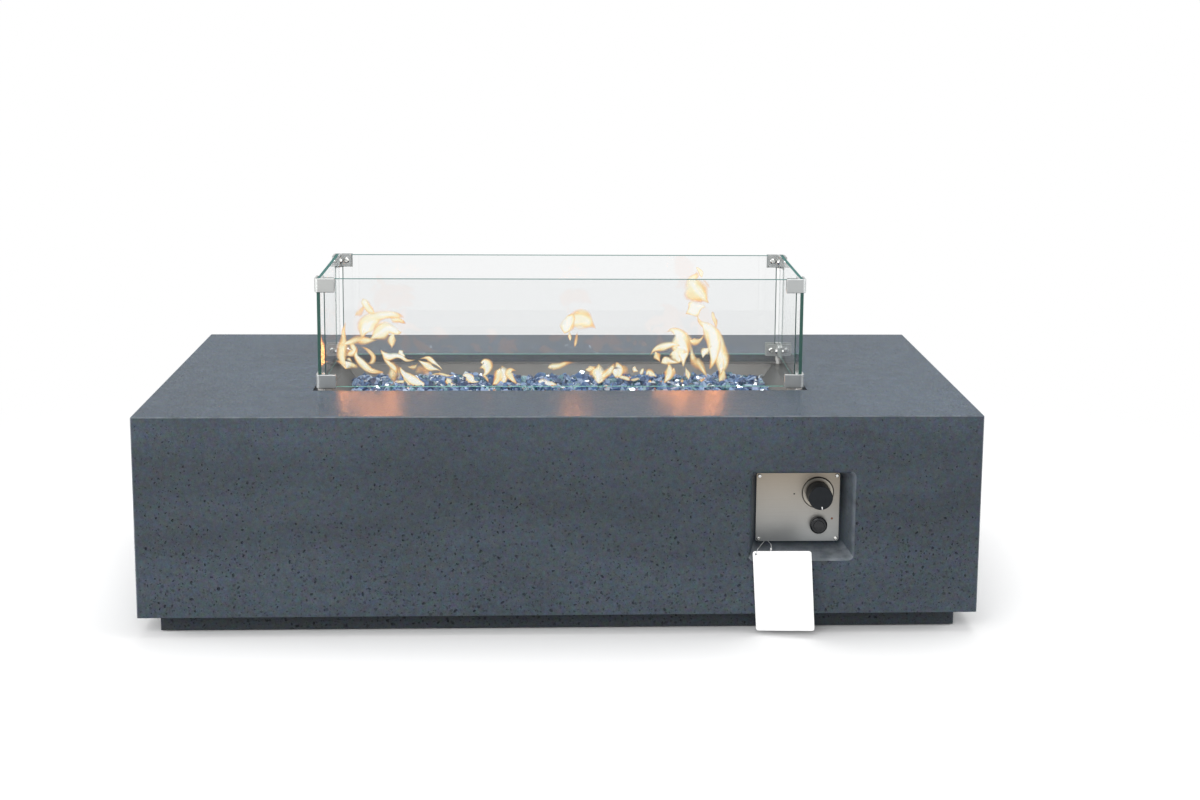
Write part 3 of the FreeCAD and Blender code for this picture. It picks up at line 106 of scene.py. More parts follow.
surround = bpy.data.worlds.new("white_surround")
bpy.context.scene.world = surround
tree = blank_tree(surround)
plain = node(tree, "ShaderNodeBackground", {"Color": white, "Strength": ambient})
bright = node(tree, "ShaderNodeBackground", {"Color": white, "Strength": 1.0})
seen = seen_directly(tree)
both = node(tree, "ShaderNodeMixShader", {0: seen, 1: plain.outputs[0], 2: bright.outputs[0]})
node(tree, "ShaderNodeOutputWorld", {0: both.outputs[0]})

deselect()
bpy.ops.mesh.primitive_plane_add(size=floor_size, location=(0, 0, 0))
floor = bpy.context.object
floor.name = "floor"
paper = bpy.data.materials.new("white_floor")
tree = blank_tree(paper)
place = node(tree, "ShaderNodeTexCoord").outputs["Object"]
reach = node(tree, "ShaderNodeVectorMath", {0: place}, operation="LENGTH").outputs["Value"]
far = remap(tree, reach, floor_fades_from, floor_fades_to, smooth=True)
lit = node(tree, "ShaderNodeBsdfDiffuse", {"Color": (floor_grey, floor_grey, floor_grey, 1)})
glow = node(tree, "ShaderNodeEmission", {"Color": white, "Strength": 1.0})
fade = maths(tree, "MULTIPLY", far, seen_directly(tree))
both = node(tree, "ShaderNodeMixShader", {0: fade, 1: lit.outputs[0], 2: glow.outputs[0]})
node(tree, "ShaderNodeOutputMaterial", {0: both.outputs[0]})
floor.data.materials.append(paper)


def soft_lamp(name, place, target, width, depth, power):
    """A large rectangular lamp that looks at a point."""
    lamp = bpy.data.lights.new(name, "AREA")
    lamp.shape = "RECTANGLE"
    lamp.size = width
    lamp.size_y = depth
    lamp.energy = power
    holder = bpy.data.objects.new(name, lamp)
    holder.location = place
    holder.rotation_euler = (Vector(target) - Vector(place)).to_track_quat("-Z", "Y").to_euler()
    bpy.context.scene.collection.objects.link(holder)


soft_lamp("front_lamp", (-0.7, -3.2, 2.4), (0, 0, 0.25), width=2.6, depth=1.6, power=54)
soft_lamp("top_lamp", (0.3, 0.5, 3.2), (0, 0, 0.3), width=3.0, depth=2.2, power=58)
soft_lamp("left_lamp", (-3.0, -0.9, 1.0), (-0.2, -0.2, 0.38), width=2.8, depth=1.3, power=56)
soft_lamp("right_lamp", (3.0, -0.4, 1.0), (0.2, -0.2, 0.38), width=2.4, depth=1.2, power=34)

camera = bpy.data.cameras.new("camera")
camera.sensor_width = 36.0
camera.lens = 53.37
camera.shift_x = -0.0342
camera.shift_y = -0.1054
view = bpy.data.objects.new("camera", camera)
view.location = (-0.0219, -3.2385, 1.0836)
view.rotation_euler = [math.radians(angle) for angle in (80.890, -0.586, -2.889)]
bpy.context.scene.collection.objects.link(view)
bpy.context.scene.camera = view
bpy.context.scene.view_settings.view_transform = "Standard"


# The concrete block. One hollow casting in slate-grey concrete, sealed to a soft sheen, with open
# air pits that grow larger and denser toward the foot of the walls, and hand-eased arrises.
def finish(name, colour=(0.5, 0.5, 0.5), roughness=0.5, metallic=0.0, **plain_values):
    """A material with plain values on its Principled shader; returns it, its tree and the shader."""
    made = bpy.data.materials.new(name)
    made.use_nodes = True
    shader = made.node_tree.nodes["Principled BSDF"]
    shader.inputs["Base Color"].default_value = (*colour, 1)
    shader.inputs["Roughness"].default_value = roughness
    shader.inputs["Metallic"].default_value = metallic
    for label, value in plain_values.items():
        shader.inputs[label.replace("_", " ").title().replace("Ior", "IOR")].default_value = value
    return made, made.node_tree, shader


def new_group(name, inputs, outputs):
    """A shader node group with named inputs and outputs; returns it and both ends' sockets."""
    made = bpy.data.node_groups.new(name, "ShaderNodeTree")
    for label, value in inputs.items():
        kind = "NodeSocketFloat" if isinstance(value, float) else "NodeSocketVector"
        kind = "NodeSocketColor" if isinstance(value, tuple) and len(value) == 4 else kind
        made.interface.new_socket(label, in_out="INPUT", socket_type=kind).default_value = value
    for label, kind in outputs.items():
        made.interface.new_socket(label, in_out="OUTPUT", socket_type="NodeSocket" + kind)
    return made, made.nodes.new("NodeGroupInput").outputs, made.nodes.new("NodeGroupOutput").inputs


def use_group(tree, made, inputs):
    """Places a node group in a material and sets or links its inputs."""
    return node(tree, "ShaderNodeGroup", inputs, node_tree=made).outputs


def times(tree, first, second):
    return maths(tree, "MULTIPLY", first, second)


def sway(tree, value, amount, middle):
    """A middle value that a noise sways either way: middle + amount x (value - 0.5)."""
    return maths(tree, "MULTIPLY_ADD", maths(tree, "SUBTRACT", value, 0.5), amount, middle)


def noise_at(tree, place, scale, detail=2.0, roughness=0.5, distortion=0.0, output=0):
    inputs = {"Vector": place, "Scale": scale, "Detail": detail, "Roughness": roughness,
              "Distortion": distortion}
    return node(tree, "ShaderNodeTexNoise", inputs).outputs[output]


def blend(tree, share, first, second, blend_type="MIX"):
    """Mixes two colours by a share."""
    inputs = {0: share, 6: first, 7: second}
    return node(tree, "ShaderNodeMix", inputs, data_type="RGBA", blend_type=blend_type).outputs[2]


def scaled(tree, colour, factor):
    return node(tree, "ShaderNodeVectorMath", {0: colour, 3: factor}, operation="SCALE").outputs[0]


def object_place(tree):
    return node(tree, "ShaderNodeTexCoord").outputs["Object"]


def split(tree, place):
    return node(tree, "ShaderNodeSeparateXYZ", {0: place}).outputs


def attribute(tree, name, output="Fac"):
    return node(tree, "ShaderNodeAttribute", attribute_name=name).outputs[output]


def cover(tree, shader, colour, roughness, height, strength, depth):
    """Links a surface's colour, roughness and bump to its shader."""
    bump = node(tree, "ShaderNodeBump", {"Height": height, "Strength": strength, "Distance": depth})
    tree.links.new(colour, shader.inputs["Base Color"])
    tree.links.new(roughness, shader.inputs["Roughness"])
    tree.links.new(bump.outputs[0], shader.inputs["Normal"])


# Cast concrete as a group: cloudy bands, mottling, fine grain and small closed pores. A wall is
# lighter at its foot and at its top. Pores are darkened as painted shade, and one input darkens pits
# and the recess's back as painted shade. Another input lightens worn places and adds painted light
# and painted highlights to lit walls and arrises, and Seal breaks up the coat.
concrete, given, out = new_group(
    "cast_concrete",
    {"Place": (0.0, 0.0, 0.0), "Colour": (0.1, 0.1, 0.1, 1.0), "Painted Shade": 0.0, "Wear And Light": 0.0,
     "Clouds": 0.25, "Shine": 0.5},
    {"Colour": "Color", "Roughness": "Float", "Seal": "Float", "Height": "Float"})
band_scale = (2.2, 2.2, 7.0)
banded = node(concrete, "ShaderNodeMapping", {"Vector": given["Place"], "Scale": band_scale}).outputs[0]
clouds = noise_at(concrete, banded, 1.6, 5.0, 0.6)
mottle = noise_at(concrete, given["Place"], 46.0, 4.0, 0.65)
flecks = noise_at(concrete, given["Place"], 250.0, 3.0, 0.7)
grain = noise_at(concrete, given["Place"], 620.0, 3.0, 0.7)
tinge = noise_at(concrete, given["Place"], 120.0, output="Color")
height = split(concrete, given["Place"])["Z"]

foot = remap(concrete, height, 0.05, 0.36, 1.25, 0.8)
warp = scaled(concrete, noise_at(concrete, given["Place"], 260.0, output="Color"), 0.005)
bent = node(concrete, "ShaderNodeVectorMath", {0: given["Place"], 1: warp}, operation="ADD").outputs[0]
pore = 0.0
pore_edge = 0.09
for repeats, least, largest in ((110.0, 0.25, 0.31), (210.0, 0.40, 0.34)):
    cells = node(concrete, "ShaderNodeTexVoronoi", {"Vector": bent, "Scale": repeats})
    chance = node(concrete, "ShaderNodeSeparateColor", {0: cells.outputs["Color"]}).outputs["Red"]
    reach = times(concrete, remap(concrete, chance, least, 1.0, 0.0, largest), foot)
    spot = maths(concrete, "SUBTRACT", reach, cells.outputs["Distance"])
    spot = maths(concrete, "DIVIDE", spot, pore_edge)
    pore = maths(concrete, "MAXIMUM", pore, node(concrete, "ShaderNodeClamp", {"Value": spot}).outputs[0])

shade = sway(concrete, clouds, given["Clouds"], 1.0)
shade = sway(concrete, mottle, 0.5, shade)
shade = sway(concrete, flecks, 1.2, shade)
shade = sway(concrete, grain, 1.3, shade)
# Painted shade: pores, pits and the recess's back are darkened in the colour itself.
dark = maths(concrete, "MAXIMUM", times(concrete, pore, 0.45), times(concrete, given["Painted Shade"], 0.36))
shade = times(concrete, shade, maths(concrete, "SUBTRACT", 1.0, dark))
low_light = remap(concrete, height, 0.09, 0.20, 1.0, 0.80, smooth=True)
high_light = remap(concrete, height, 0.29, 0.37, 0.0, 0.20, smooth=True)
shade = times(concrete, shade, maths(concrete, "ADD", low_light, high_light))
toned = blend(concrete, 0.45, scaled(concrete, given["Colour"], shade), tinge, "OVERLAY")
# Worn places, and places given painted light and painted highlights, turn toward a pale grey.
patchy_wear_and_light = maths(concrete, "MULTIPLY_ADD", remap(concrete, mottle, 0.38, 0.62), 0.5, 0.5)
toned = blend(concrete, times(concrete, patchy_wear_and_light, given["Wear And Light"]), toned, (0.19, 0.21, 0.23, 1))
concrete.links.new(toned, out["Colour"])

dull = sway(concrete, mottle, 0.24, maths(concrete, "SUBTRACT", 0.94, given["Shine"]))
dull = sway(concrete, flecks, 0.5, dull)
concrete.links.new(maths(concrete, "MULTIPLY_ADD", dark, 0.4, dull), out["Roughness"])
concrete.links.new(sway(concrete, flecks, 9.0, sway(concrete, mottle, 2.5, 1.05)), out["Seal"])
deep = maths(concrete, "MULTIPLY_ADD", pore, -1.0, times(concrete, grain, 0.5))
concrete.links.new(maths(concrete, "MULTIPLY_ADD", mottle, 0.5, deep), out["Height"])


def concrete_finish(name, colour, clouds, shine, coat):
    """Sealed concrete: painted shade darkens open pits and the recess toward its back; painted light and
    wear lighten worn places.
    """
    made, tree, shader = finish(name, colour, coat_weight=coat, coat_roughness=0.22,
                                specular_ior_level=0.35)
    place = object_place(tree)
    # Painted shade: the recess darkens toward its back, and its painted light fades there.
    painted_recess_shade = times(tree, remap(tree, split(tree, place)["Y"], -0.330, -0.302), attribute(tree, "recess"))
    painted_shade = maths(tree, "MAXIMUM", attribute(tree, "painted_shade"), painted_recess_shade)
    wear_and_light = times(tree, attribute(tree, "wear_and_light"), maths(tree, "SUBTRACT", 1.0, painted_recess_shade))
    skin = use_group(tree, concrete, {"Place": place, "Colour": (*colour, 1), "Painted Shade": painted_shade, "Wear And Light": wear_and_light,
                                      "Clouds": clouds, "Shine": shine})
    polish_and_tint = attribute(tree, "polish_and_tint")
    # Painted tint: the top is toned cooler than the walls, to offset the light that falls on it.
    painted_top_tint = remap(tree, polish_and_tint, 0.3, 1.0)
    toned = blend(tree, painted_top_tint, skin["Colour"], (0.62, 0.84, 1.0, 1), "MULTIPLY")
    cover(tree, shader, toned, skin["Roughness"], skin["Height"], 0.35, 0.0006)
    tree.links.new(times(tree, times(tree, polish_and_tint, coat), skin["Seal"]), shader.inputs["Coat Weight"])
    return made


def copy_of_node(name, new_name):
    """A merged copy of a CAD node's mesh with flat faces whole again, ready to be worked on."""
    deselect()
    piece = bpy.data.objects.new(new_name, nodes[name].data.copy())
    bpy.context.scene.collection.objects.link(piece)
    bpy.context.view_layer.objects.active = piece
    piece.select_set(True)
    bpy.ops.object.mode_set(mode="EDIT")
    bpy.ops.mesh.select_all(action="SELECT")
    bpy.ops.mesh.remove_doubles(threshold=1e-6)
    bpy.ops.mesh.dissolve_limited(angle_limit=math.radians(0.03))
    bpy.ops.object.mode_set(mode="OBJECT")
    return piece


def corners_of(name):
    """The lowest and highest corners of a node's box."""
    return [Vector(corner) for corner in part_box(name)]


def only_material(piece, material):
    piece.data.materials.clear()
    piece.data.materials.append(material)


def mark_faces(piece, label, value):
    """Gives every face of a piece one value of an attribute."""
    layer = piece.data.attributes.new(label, "FLOAT", "FACE")
    for number in range(len(piece.data.polygons)):
        layer.data[number].value = value


deselect()
bpy.ops.mesh.primitive_ico_sphere_add(subdivisions=1, radius=1.0)
bubble = bpy.context.object
bubble_corners = [corner.co.copy() for corner in bubble.data.vertices]
bubble_faces = [list(face.vertices) for face in bubble.data.polygons]
bpy.data.objects.remove(bubble)
full_turn = 6.28


def air_pits(places):
    """One mesh of squashed, uneven bubbles. Each place is a point, the wall's normal and a radius."""
    corners = []
    faces = []
    for point, normal, radius in places:
        spin = Matrix.Rotation(random.uniform(0, full_turn), 3, "Z")
        turn = normal.to_track_quat("Z", "Y").to_matrix() @ spin
        longer = random.uniform(1.0, 1.55)
        first = len(corners)
        for corner in bubble_corners:
            shape = Vector((corner.x * longer, corner.y / longer ** 0.5, corner.z * 0.6))
            corners.append(point + turn @ shape * radius * random.uniform(0.82, 1.15))
        faces.extend([first + number for number in face] for face in bubble_faces)
    mesh = bpy.data.meshes.new("air_pits")
    mesh.from_pydata(corners, [], faces)
    cutter = bpy.data.objects.new("air_pits", mesh)
    bpy.context.scene.collection.objects.link(cutter)
    return cutter


def scatter(count, corner, across, up, normal, radius_at, keep):
    """Spots over a wall, given by one corner and its two sides, that keep clear of each other."""
    spots = []
    grid = {}
    cell = 0.008
    tries_per_spot = 12
    clearance = 1.8
    for _ in range(count * tries_per_spot):
        if len(spots) == count:
            break
        u = random.random()
        v = random.random()
        point = corner + across * u + up * v
        radius = radius_at(point, v)
        if random.random() > keep(point, v):
            continue
        home = tuple(int(math.floor(value / cell)) for value in point)
        near = [spot for dx in (-1, 0, 1) for dy in (-1, 0, 1) for dz in (-1, 0, 1)
                for spot in grid.get((home[0] + dx, home[1] + dy, home[2] + dz), ())]
        if all((point - other).length > clearance * (radius + size) for other, size in near):
            grid.setdefault(home, []).append((point, radius))
            spots.append((point, normal, radius))
    return spots


def cut_pits(piece, spots):
    """Cuts the pits out of a piece, and marks their faces for painted shade."""
    cutter = air_pits(spots)
    mark_faces(piece, "painted_shade", 0.0)
    mark_faces(cutter, "painted_shade", 1.0)
    cut = piece.modifiers.new("pits", "BOOLEAN")
    cut.operation = "DIFFERENCE"
    cut.solver = "MANIFOLD"
    cut.object = cutter
    deselect()
    bpy.context.view_layer.objects.active = piece
    piece.select_set(True)
    bpy.ops.object.modifier_apply(modifier="pits")
    bpy.data.objects.remove(cutter)
    bpy.ops.object.shade_smooth_by_angle(angle=math.radians(32))
    for face in piece.data.polygons:
        if max(abs(value) for value in face.normal) > 0.99999:
            face.use_smooth = False


arris = 0.005
recess_centre = Vector((0.405, 0.206))
mouth_half = Vector((0.092, 0.080))
mouth_margin = 0.01
mouth_radius = 0.006


def in_mouth(x, z, margin):
    """True where a place on the front lies in the control recess's mouth, or near it."""
    return (abs(x - recess_centre.x) < mouth_half.x + margin
            and abs(z - recess_centre.y) < mouth_half.y + margin)


def wall_pit_radius(point, height):
    """Pits grow toward the foot of a wall, where the mould's air was trapped."""
    return random.uniform(0.0007, 0.0013) + random.random() ** 4 * (0.0006 + 0.0022 * (1 - height))


def wall_pit_chance(point, height):
    """Patches of pits, denser toward the foot, none in the control recess."""
    if point.y < 0 and in_mouth(point.x, point.z, 0.0):
        return 0.0
    patch = noise.noise(Vector((point.x * 7, point.y * 7, point.z * 16)))
    return 0.24 + 0.7 * (1 - height) ** 1.5 + 0.45 * patch


def top_pit_radius(point, height):
    return random.uniform(0.0006, 0.0012)


def top_pit_chance(point, height):
    """Pits all over the top, but clear of its opening."""
    return 0.0 if abs(point.x) < 0.45 and abs(point.y) < 0.18 else 1.0


def wall_pits(low, high, front, rear, end):
    """Pits over the four walls of a box, clear of its arrises, with a count for each wall."""
    inset = Vector((arris, arris, arris))
    near = low + inset
    span = high - inset - near
    wide, deep, tall = Vector((span.x, 0, 0)), Vector((0, span.y, 0)), Vector((0, 0, span.z))
    spots = []
    for count, corner, across, normal in (
            (front, (near.x, low.y, near.z), wide, (0, -1, 0)),
            (rear, (near.x, high.y, near.z), wide, (0, 1, 0)),
            (end, (low.x, near.y, near.z), deep, (-1, 0, 0)),
            (end, (high.x, near.y, near.z), deep, (1, 0, 0))):
        spots += scatter(count, Vector(corner), across, tall, Vector(normal),
                         wall_pit_radius, wall_pit_chance)
    return spots, near, wide, deep


random.seed(11)
block_low, block_high = corners_of("concrete_shell")
spots, near, wide, deep = wall_pits(block_low, block_high, 2300, 1500, 700)
top_corner = Vector((near.x, near.y, block_high.z))
spots += scatter(150, top_corner, wide, deep, Vector((0, 0, 1)), top_pit_radius, top_pit_chance)
block = copy_of_node("concrete_shell", "concrete_block")
bpy.ops.object.mode_set(mode="EDIT")
shape = bmesh.from_edit_mesh(block.data)
for face in shape.faces:
    face.select = False
for edge in shape.edges:
    on_mouth = all(abs(end.co.y - block_low.y) < 1e-5 and in_mouth(end.co.x, end.co.z, mouth_margin)
                   for end in edge.verts)
    edge.select = on_mouth and len(edge.link_faces) == 2 and edge.calc_face_angle() > 0.3
bmesh.update_edit_mesh(block.data)
bpy.ops.mesh.bevel(offset=mouth_radius, segments=4, affect="EDGES")
bpy.ops.object.mode_set(mode="OBJECT")

# The recess's floor and right wall are worn and get painted light, the arrises are worn and get a
# painted highlight, and the top is polished most and toned cooler as a painted tint.
wear_and_light = block.data.attributes.new("wear_and_light", "FLOAT", "FACE")
polish_and_tint = block.data.attributes.new("polish_and_tint", "FLOAT", "FACE")
recess = block.data.attributes.new("recess", "FLOAT", "FACE")
for face in block.data.polygons:
    small = sum(abs(value) > 0.3 for value in face.normal) > 1 and face.area < 0.01
    in_recess = face.center.y < -0.25 and in_mouth(face.center.x, face.center.z, mouth_margin)
    on_top = face.normal.z > 0.9 and face.center.z > block_high.z - arris
    polish_and_tint.data[face.index].value = 1.0 if on_top else 0.25
    recess.data[face.index].value = float(in_recess)
    # Painted light and wear: the recess's floor and right wall and the arrises are lightened; the recess's
    # top and left walls are not.
    wear_and_light_share = 0.55 * small
    if in_recess:
        wear_and_light_share = 0.85 if face.normal.z > 0.2 else (0.26 + 0.06 * small) * (face.normal.x < -0.2)
    wear_and_light.data[face.index].value = wear_and_light_share
cut_pits(block, spots)
slate = (0.036, 0.050, 0.066)
only_material(block, concrete_finish("slate_concrete", slate, clouds=1.0, shine=0.34, coat=0.18))
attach(block, "fire_table")
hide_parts("concrete_shell")


# The plinth, its bolts and pads. A ring of concrete set back under the block and held up to it by
# zinc-plated bolts from below, on six rubber pads; its darker colour is painted shade under the overhang.
def dress(material, *names):
    """Gives CAD nodes their finish."""
    for name in names:
        only_material(nodes[name], material)


def speckled_finish(name, colour, second, roughness, scale, depth=0.0001, metallic=0.0, **plain_values):
    """A plain moulded, cast or woven stuff whose colour, gloss and surface vary finely."""
    made, tree, shader = finish(name, colour, roughness, metallic, **plain_values)
    place = object_place(tree)
    fine = noise_at(tree, place, scale, 4.0, 0.7)
    broad = noise_at(tree, place, scale / 14, 3.0)
    share = remap(tree, maths(tree, "MULTIPLY_ADD", fine, 0.5, times(tree, broad, 0.5)), 0.35, 0.65)
    mixed = blend(tree, share, (*colour, 1), (*second, 1))
    cover(tree, shader, mixed, sway(tree, broad, 0.35, roughness), fine, 0.6, depth)
    return made


plinth = copy_of_node("base_plinth", "plinth_ring")
cut_pits(plinth, wall_pits(*corners_of("base_plinth"), 260, 260, 120)[0])
# Painted shade: the plinth's concrete is darker than the block's, for the shade under the overhang.
shaded_slate = (0.028, 0.036, 0.044)
only_material(plinth, concrete_finish("shaded_concrete", shaded_slate, clouds=0.4, shine=0.25, coat=0.0))
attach(plinth, "fire_table")
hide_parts("base_plinth")
zinc = speckled_finish("zinc_plate", (0.56, 0.56, 0.54), (0.44, 0.46, 0.47), 0.38, 700.0,
                       depth=0.00003, metallic=1.0)
rubber = speckled_finish("black_rubber", (0.020, 0.020, 0.021), (0.032, 0.032, 0.033), 0.82, 900.0,
                         depth=0.0002)
dress(zinc, "plinth_bolts")
dress(rubber, "foot_pads")


# The drop-in pan. Folded from 1.5 mm stainless sheet with welded corners, its flange bedded on a
# strip of woven fibre; brushed along its length, and warmed to straw and brown by the fire.
brushed, given, out = new_group(
    "brushed_metal",
    {"Place": (0.0, 0.0, 0.0), "Lines": (0.0, 0.0, 0.0), "Colour": (0.5, 0.5, 0.5, 1.0),
     "Tint": (0.4, 0.3, 0.2, 1.0), "Tint Share": 0.0, "Roughness": 0.3, "Streaks": 0.2},
    {"Colour": "Color", "Roughness": "Float", "Height": "Float"})
lines = noise_at(brushed, given["Lines"], 1.0, 6.0, 0.8)
smudge = noise_at(brushed, given["Place"], 24.0, 4.0, distortion=0.6)
heat = remap(brushed, noise_at(brushed, given["Place"], 5.0, 3.0), 0.35, 0.7)
tinted = blend(brushed, times(brushed, heat, given["Tint Share"]), given["Colour"], given["Tint"])
shade = sway(brushed, smudge, 0.12, sway(brushed, lines, given["Streaks"], 1.0))
brushed.links.new(scaled(brushed, tinted, shade), out["Colour"])
rough = sway(brushed, lines, 0.3, given["Roughness"])
brushed.links.new(sway(brushed, smudge, 0.16, rough), out["Roughness"])
brushed.links.new(lines, out["Height"])


def metal_finish(name, colour, roughness, grain, streaks=0.2, tint=(0.4, 0.3, 0.2), tint_share=0.0,
                 depth=0.00004, metallic=1.0):
    """Brushed, drawn or cast metal; grain is how finely its lines repeat along X, Y and Z."""
    made, tree, shader = finish(name, colour, roughness, metallic)
    place = object_place(tree)
    stretched = node(tree, "ShaderNodeMapping", {"Vector": place, "Scale": grain}).outputs[0]
    skin = use_group(tree, brushed, {
        "Place": place, "Lines": stretched, "Colour": (*colour, 1), "Tint": (*tint, 1),
        "Tint Share": tint_share, "Roughness": roughness, "Streaks": streaks})
    cover(tree, shader, skin["Colour"], skin["Roughness"], skin["Height"], 0.5, depth)
    return made


pan_steel = metal_finish("pan_steel", (0.150, 0.152, 0.150), 0.46, (9.0, 700.0, 700.0), streaks=0.35,
                         tint=(0.125, 0.105, 0.090), tint_share=0.8, metallic=0.6)
fibre_strip = speckled_finish("fibre_strip", (0.62, 0.58, 0.50), (0.45, 0.42, 0.36), 0.95, 900.0,
                              depth=0.0004)
dress(pan_steel, "burner_pan")
dress(fibre_strip, "tray_gasket")


# The burner under the glass. Welded stainless tube, drilled along its top, on folded channels, with
# its spark electrode and flame sensor, and its pipe, locknuts, brass air mixer and jet below the pan.
burner_steel = metal_finish("heated_steel", (0.40, 0.37, 0.34), 0.36, (40.0, 400.0, 400.0), streaks=0.25,
                            tint=(0.20, 0.16, 0.22), tint_share=0.9)
brass = metal_finish("turned_brass", (0.66, 0.47, 0.19), 0.28, (300.0, 300.0, 900.0),
                     tint=(0.42, 0.26, 0.10), tint_share=0.5)
ceramic = speckled_finish("white_ceramic", (0.78, 0.76, 0.70), (0.72, 0.69, 0.62), 0.25, 420.0,
                          depth=0.00004, coat_weight=0.5)
dress(burner_steel, "burner", "burner_stands", "sensor_hood", "thermocouple_probe", "spark_electrode")
dress(zinc, "burner_nipple", "burner_locknuts")
dress(brass, "air_mixer", "gas_orifice")
dress(ceramic, "spark_insulator")


# The fire glass. Broken tempered-glass chips of about 10 mm, blue, aqua and mirror-backed clear,
# heaped loosely over the burner and levelled off toward the pan's sloping sides.
chip_size = 0.0100
chip_pitch = 0.0076
chip_radius = 0.0048
chip_jitter = 0.003
chip_kinds = 9
row_pitch = chip_pitch * 0.866
pan_floor_half = Vector((0.357, 0.0825))
pan_floor_z = 0.309
bed_mesh = nodes["fire_glass"].data
bed_surface = BVHTree.FromPolygons([corner.co for corner in bed_mesh.vertices],
                                   [face.vertices for face in bed_mesh.polygons])


def bed_top(x, y):
    """The height of the heaped bed at a place, or nothing past its edge."""
    found = bed_surface.ray_cast(Vector((x, y, 1)), Vector((0, 0, -1)))[0]
    return found and found.z


def clear_of_pan(x, y, z):
    """True where a chip at this place stays inside the pan's sloping sides."""
    reach = z - pan_floor_z - chip_radius * 1.2
    return abs(x) < pan_floor_half.x + reach and abs(y) < pan_floor_half.y + reach


def any_way():
    """A direction drawn at random."""
    return Vector([random.gauss(0, 1) for _ in range(3)]).normalized()


def broken_chip():
    """One chip: a small block whose corners and sides broke off along random planes."""
    deselect()
    bpy.ops.mesh.primitive_cube_add(size=chip_size)
    chip = bpy.context.object
    bpy.ops.object.mode_set(mode="EDIT")
    for _ in range(random.randint(4, 6)):
        way = any_way()
        bpy.ops.mesh.select_all(action="SELECT")
        bpy.ops.mesh.bisect(plane_co=way * chip_size * random.uniform(0.24, 0.46), plane_no=way,
                            use_fill=True, clear_outer=True)
    bpy.ops.object.mode_set(mode="OBJECT")
    corners = [corner.co.copy() for corner in chip.data.vertices]
    faces = [list(face.vertices) for face in chip.data.polygons]
    bpy.data.objects.remove(chip)
    return corners, faces


def heap(name, chips, kinds, material):
    """Joins chips of one sort into one piece; each keeps its own tint as a face attribute."""
    corners, faces, tints = [], [], []
    for point, scale, tint in chips:
        shape, sides = random.choice(kinds)
        turn = Matrix.Rotation(random.uniform(0, full_turn), 3, any_way())
        stretch = Vector([random.uniform(0.75, 1.3) for _ in range(3)]) * scale
        first = len(corners)
        corners.extend(point + turn @ Vector([a * b for a, b in zip(corner, stretch)]) for corner in shape)
        faces.extend([first + number for number in side] for side in sides)
        tints.extend([tint] * len(sides))
    mesh = bpy.data.meshes.new(name)
    mesh.from_pydata(corners, [], faces)
    layer = mesh.attributes.new("tint", "FLOAT", "FACE")
    layer.data.foreach_set("value", tints)
    mesh.materials.append(material)
    piece = bpy.data.objects.new(name, mesh)
    bpy.context.scene.collection.objects.link(piece)
    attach(piece, "fire_table")
    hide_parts("fire_glass")


def chip_finish(name, dark, middle, light, clear, metallic=0.0):
    """Glass chips whose shade runs from dark to light with the tint attribute."""
    made, tree, shader = finish(name, middle, 0.04, metallic, transmission_weight=clear)
    ramp = node(tree, "ShaderNodeValToRGB", {"Fac": attribute(tree, "tint")})
    ramp.color_ramp.elements[0].color = (*dark, 1)
    ramp.color_ramp.elements[1].color = (*light, 1)
    ramp.color_ramp.elements.new(0.5).color = (*middle, 1)
    dust = times(tree, noise_at(tree, object_place(tree), 900.0, 3.0), 0.16)
    tree.links.new(blend(tree, dust, ramp.outputs[0], (0.62, 0.66, 0.70, 1)), shader.inputs["Base Color"])
    tree.links.new(dust, shader.inputs["Roughness"])
    return made


random.seed(23)
kinds = [broken_chip() for _ in range(chip_kinds)]
chips = {"blue": [], "aqua": [], "clear": []}
bed_low, bed_high = corners_of("fire_glass")
for row in range(int((bed_high.y - bed_low.y) / row_pitch) + 1):
    for column in range(int((bed_high.x - bed_low.x) / chip_pitch) + 1):
        x = bed_low.x + chip_pitch * (column + 0.5 * (row % 2)) + random.uniform(-chip_jitter, chip_jitter)
        y = bed_low.y + row_pitch * row + random.uniform(-chip_jitter, chip_jitter)
        top = bed_top(x, y)
        lifts = [random.uniform(-0.008, -0.004)]
        lifts += [random.uniform(-0.002, 0.002)] * (random.random() < 0.35)
        for lift in lifts:
            if top and clear_of_pan(x, y, top + lift):
                sort = random.choices(tuple(chips), (0.72, 0.15, 0.13))[0]
                chips[sort].append((Vector((x, y, top + lift)), random.uniform(0.7, 1.2), random.random()))
cobalt_glass = chip_finish("cobalt_glass", (0.016, 0.04, 0.13), (0.10, 0.22, 0.48), (0.42, 0.56, 0.80),
                           clear=0.4)
aqua_glass = chip_finish("aqua_glass", (0.03, 0.15, 0.20), (0.13, 0.36, 0.44), (0.42, 0.66, 0.72),
                         clear=0.6)
mirror_glass = chip_finish("mirror_glass", (0.35, 0.38, 0.42), (0.70, 0.74, 0.78), (0.93, 0.95, 0.97),
                           clear=0.0, metallic=1.0)
heap("fire_glass_blue", chips["blue"], kinds, cobalt_glass)
heap("fire_glass_aqua", chips["aqua"], kinds, aqua_glass)
heap("fire_glass_clear", chips["clear"], kinds, mirror_glass)

# The dark body of the bed, let down a little so that only chips show; its near-black blue is
# painted shade in the gaps deep in the heap.
bed = copy_of_node("fire_glass", "fire_glass_bed")
settle = 0.009
settled_depth = 0.022
for corner in bed.data.vertices:
    if corner.co.z > bed_high.z - settled_depth:
        corner.co.z -= settle
shaded_bed_glass = speckled_finish("shaded_bed_glass", (0.010, 0.022, 0.06), (0.05, 0.10, 0.20), 0.25, 260.0,
                             depth=0.004)
only_material(bed, shaded_bed_glass)
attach(bed, "fire_table")
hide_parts("fire_glass")


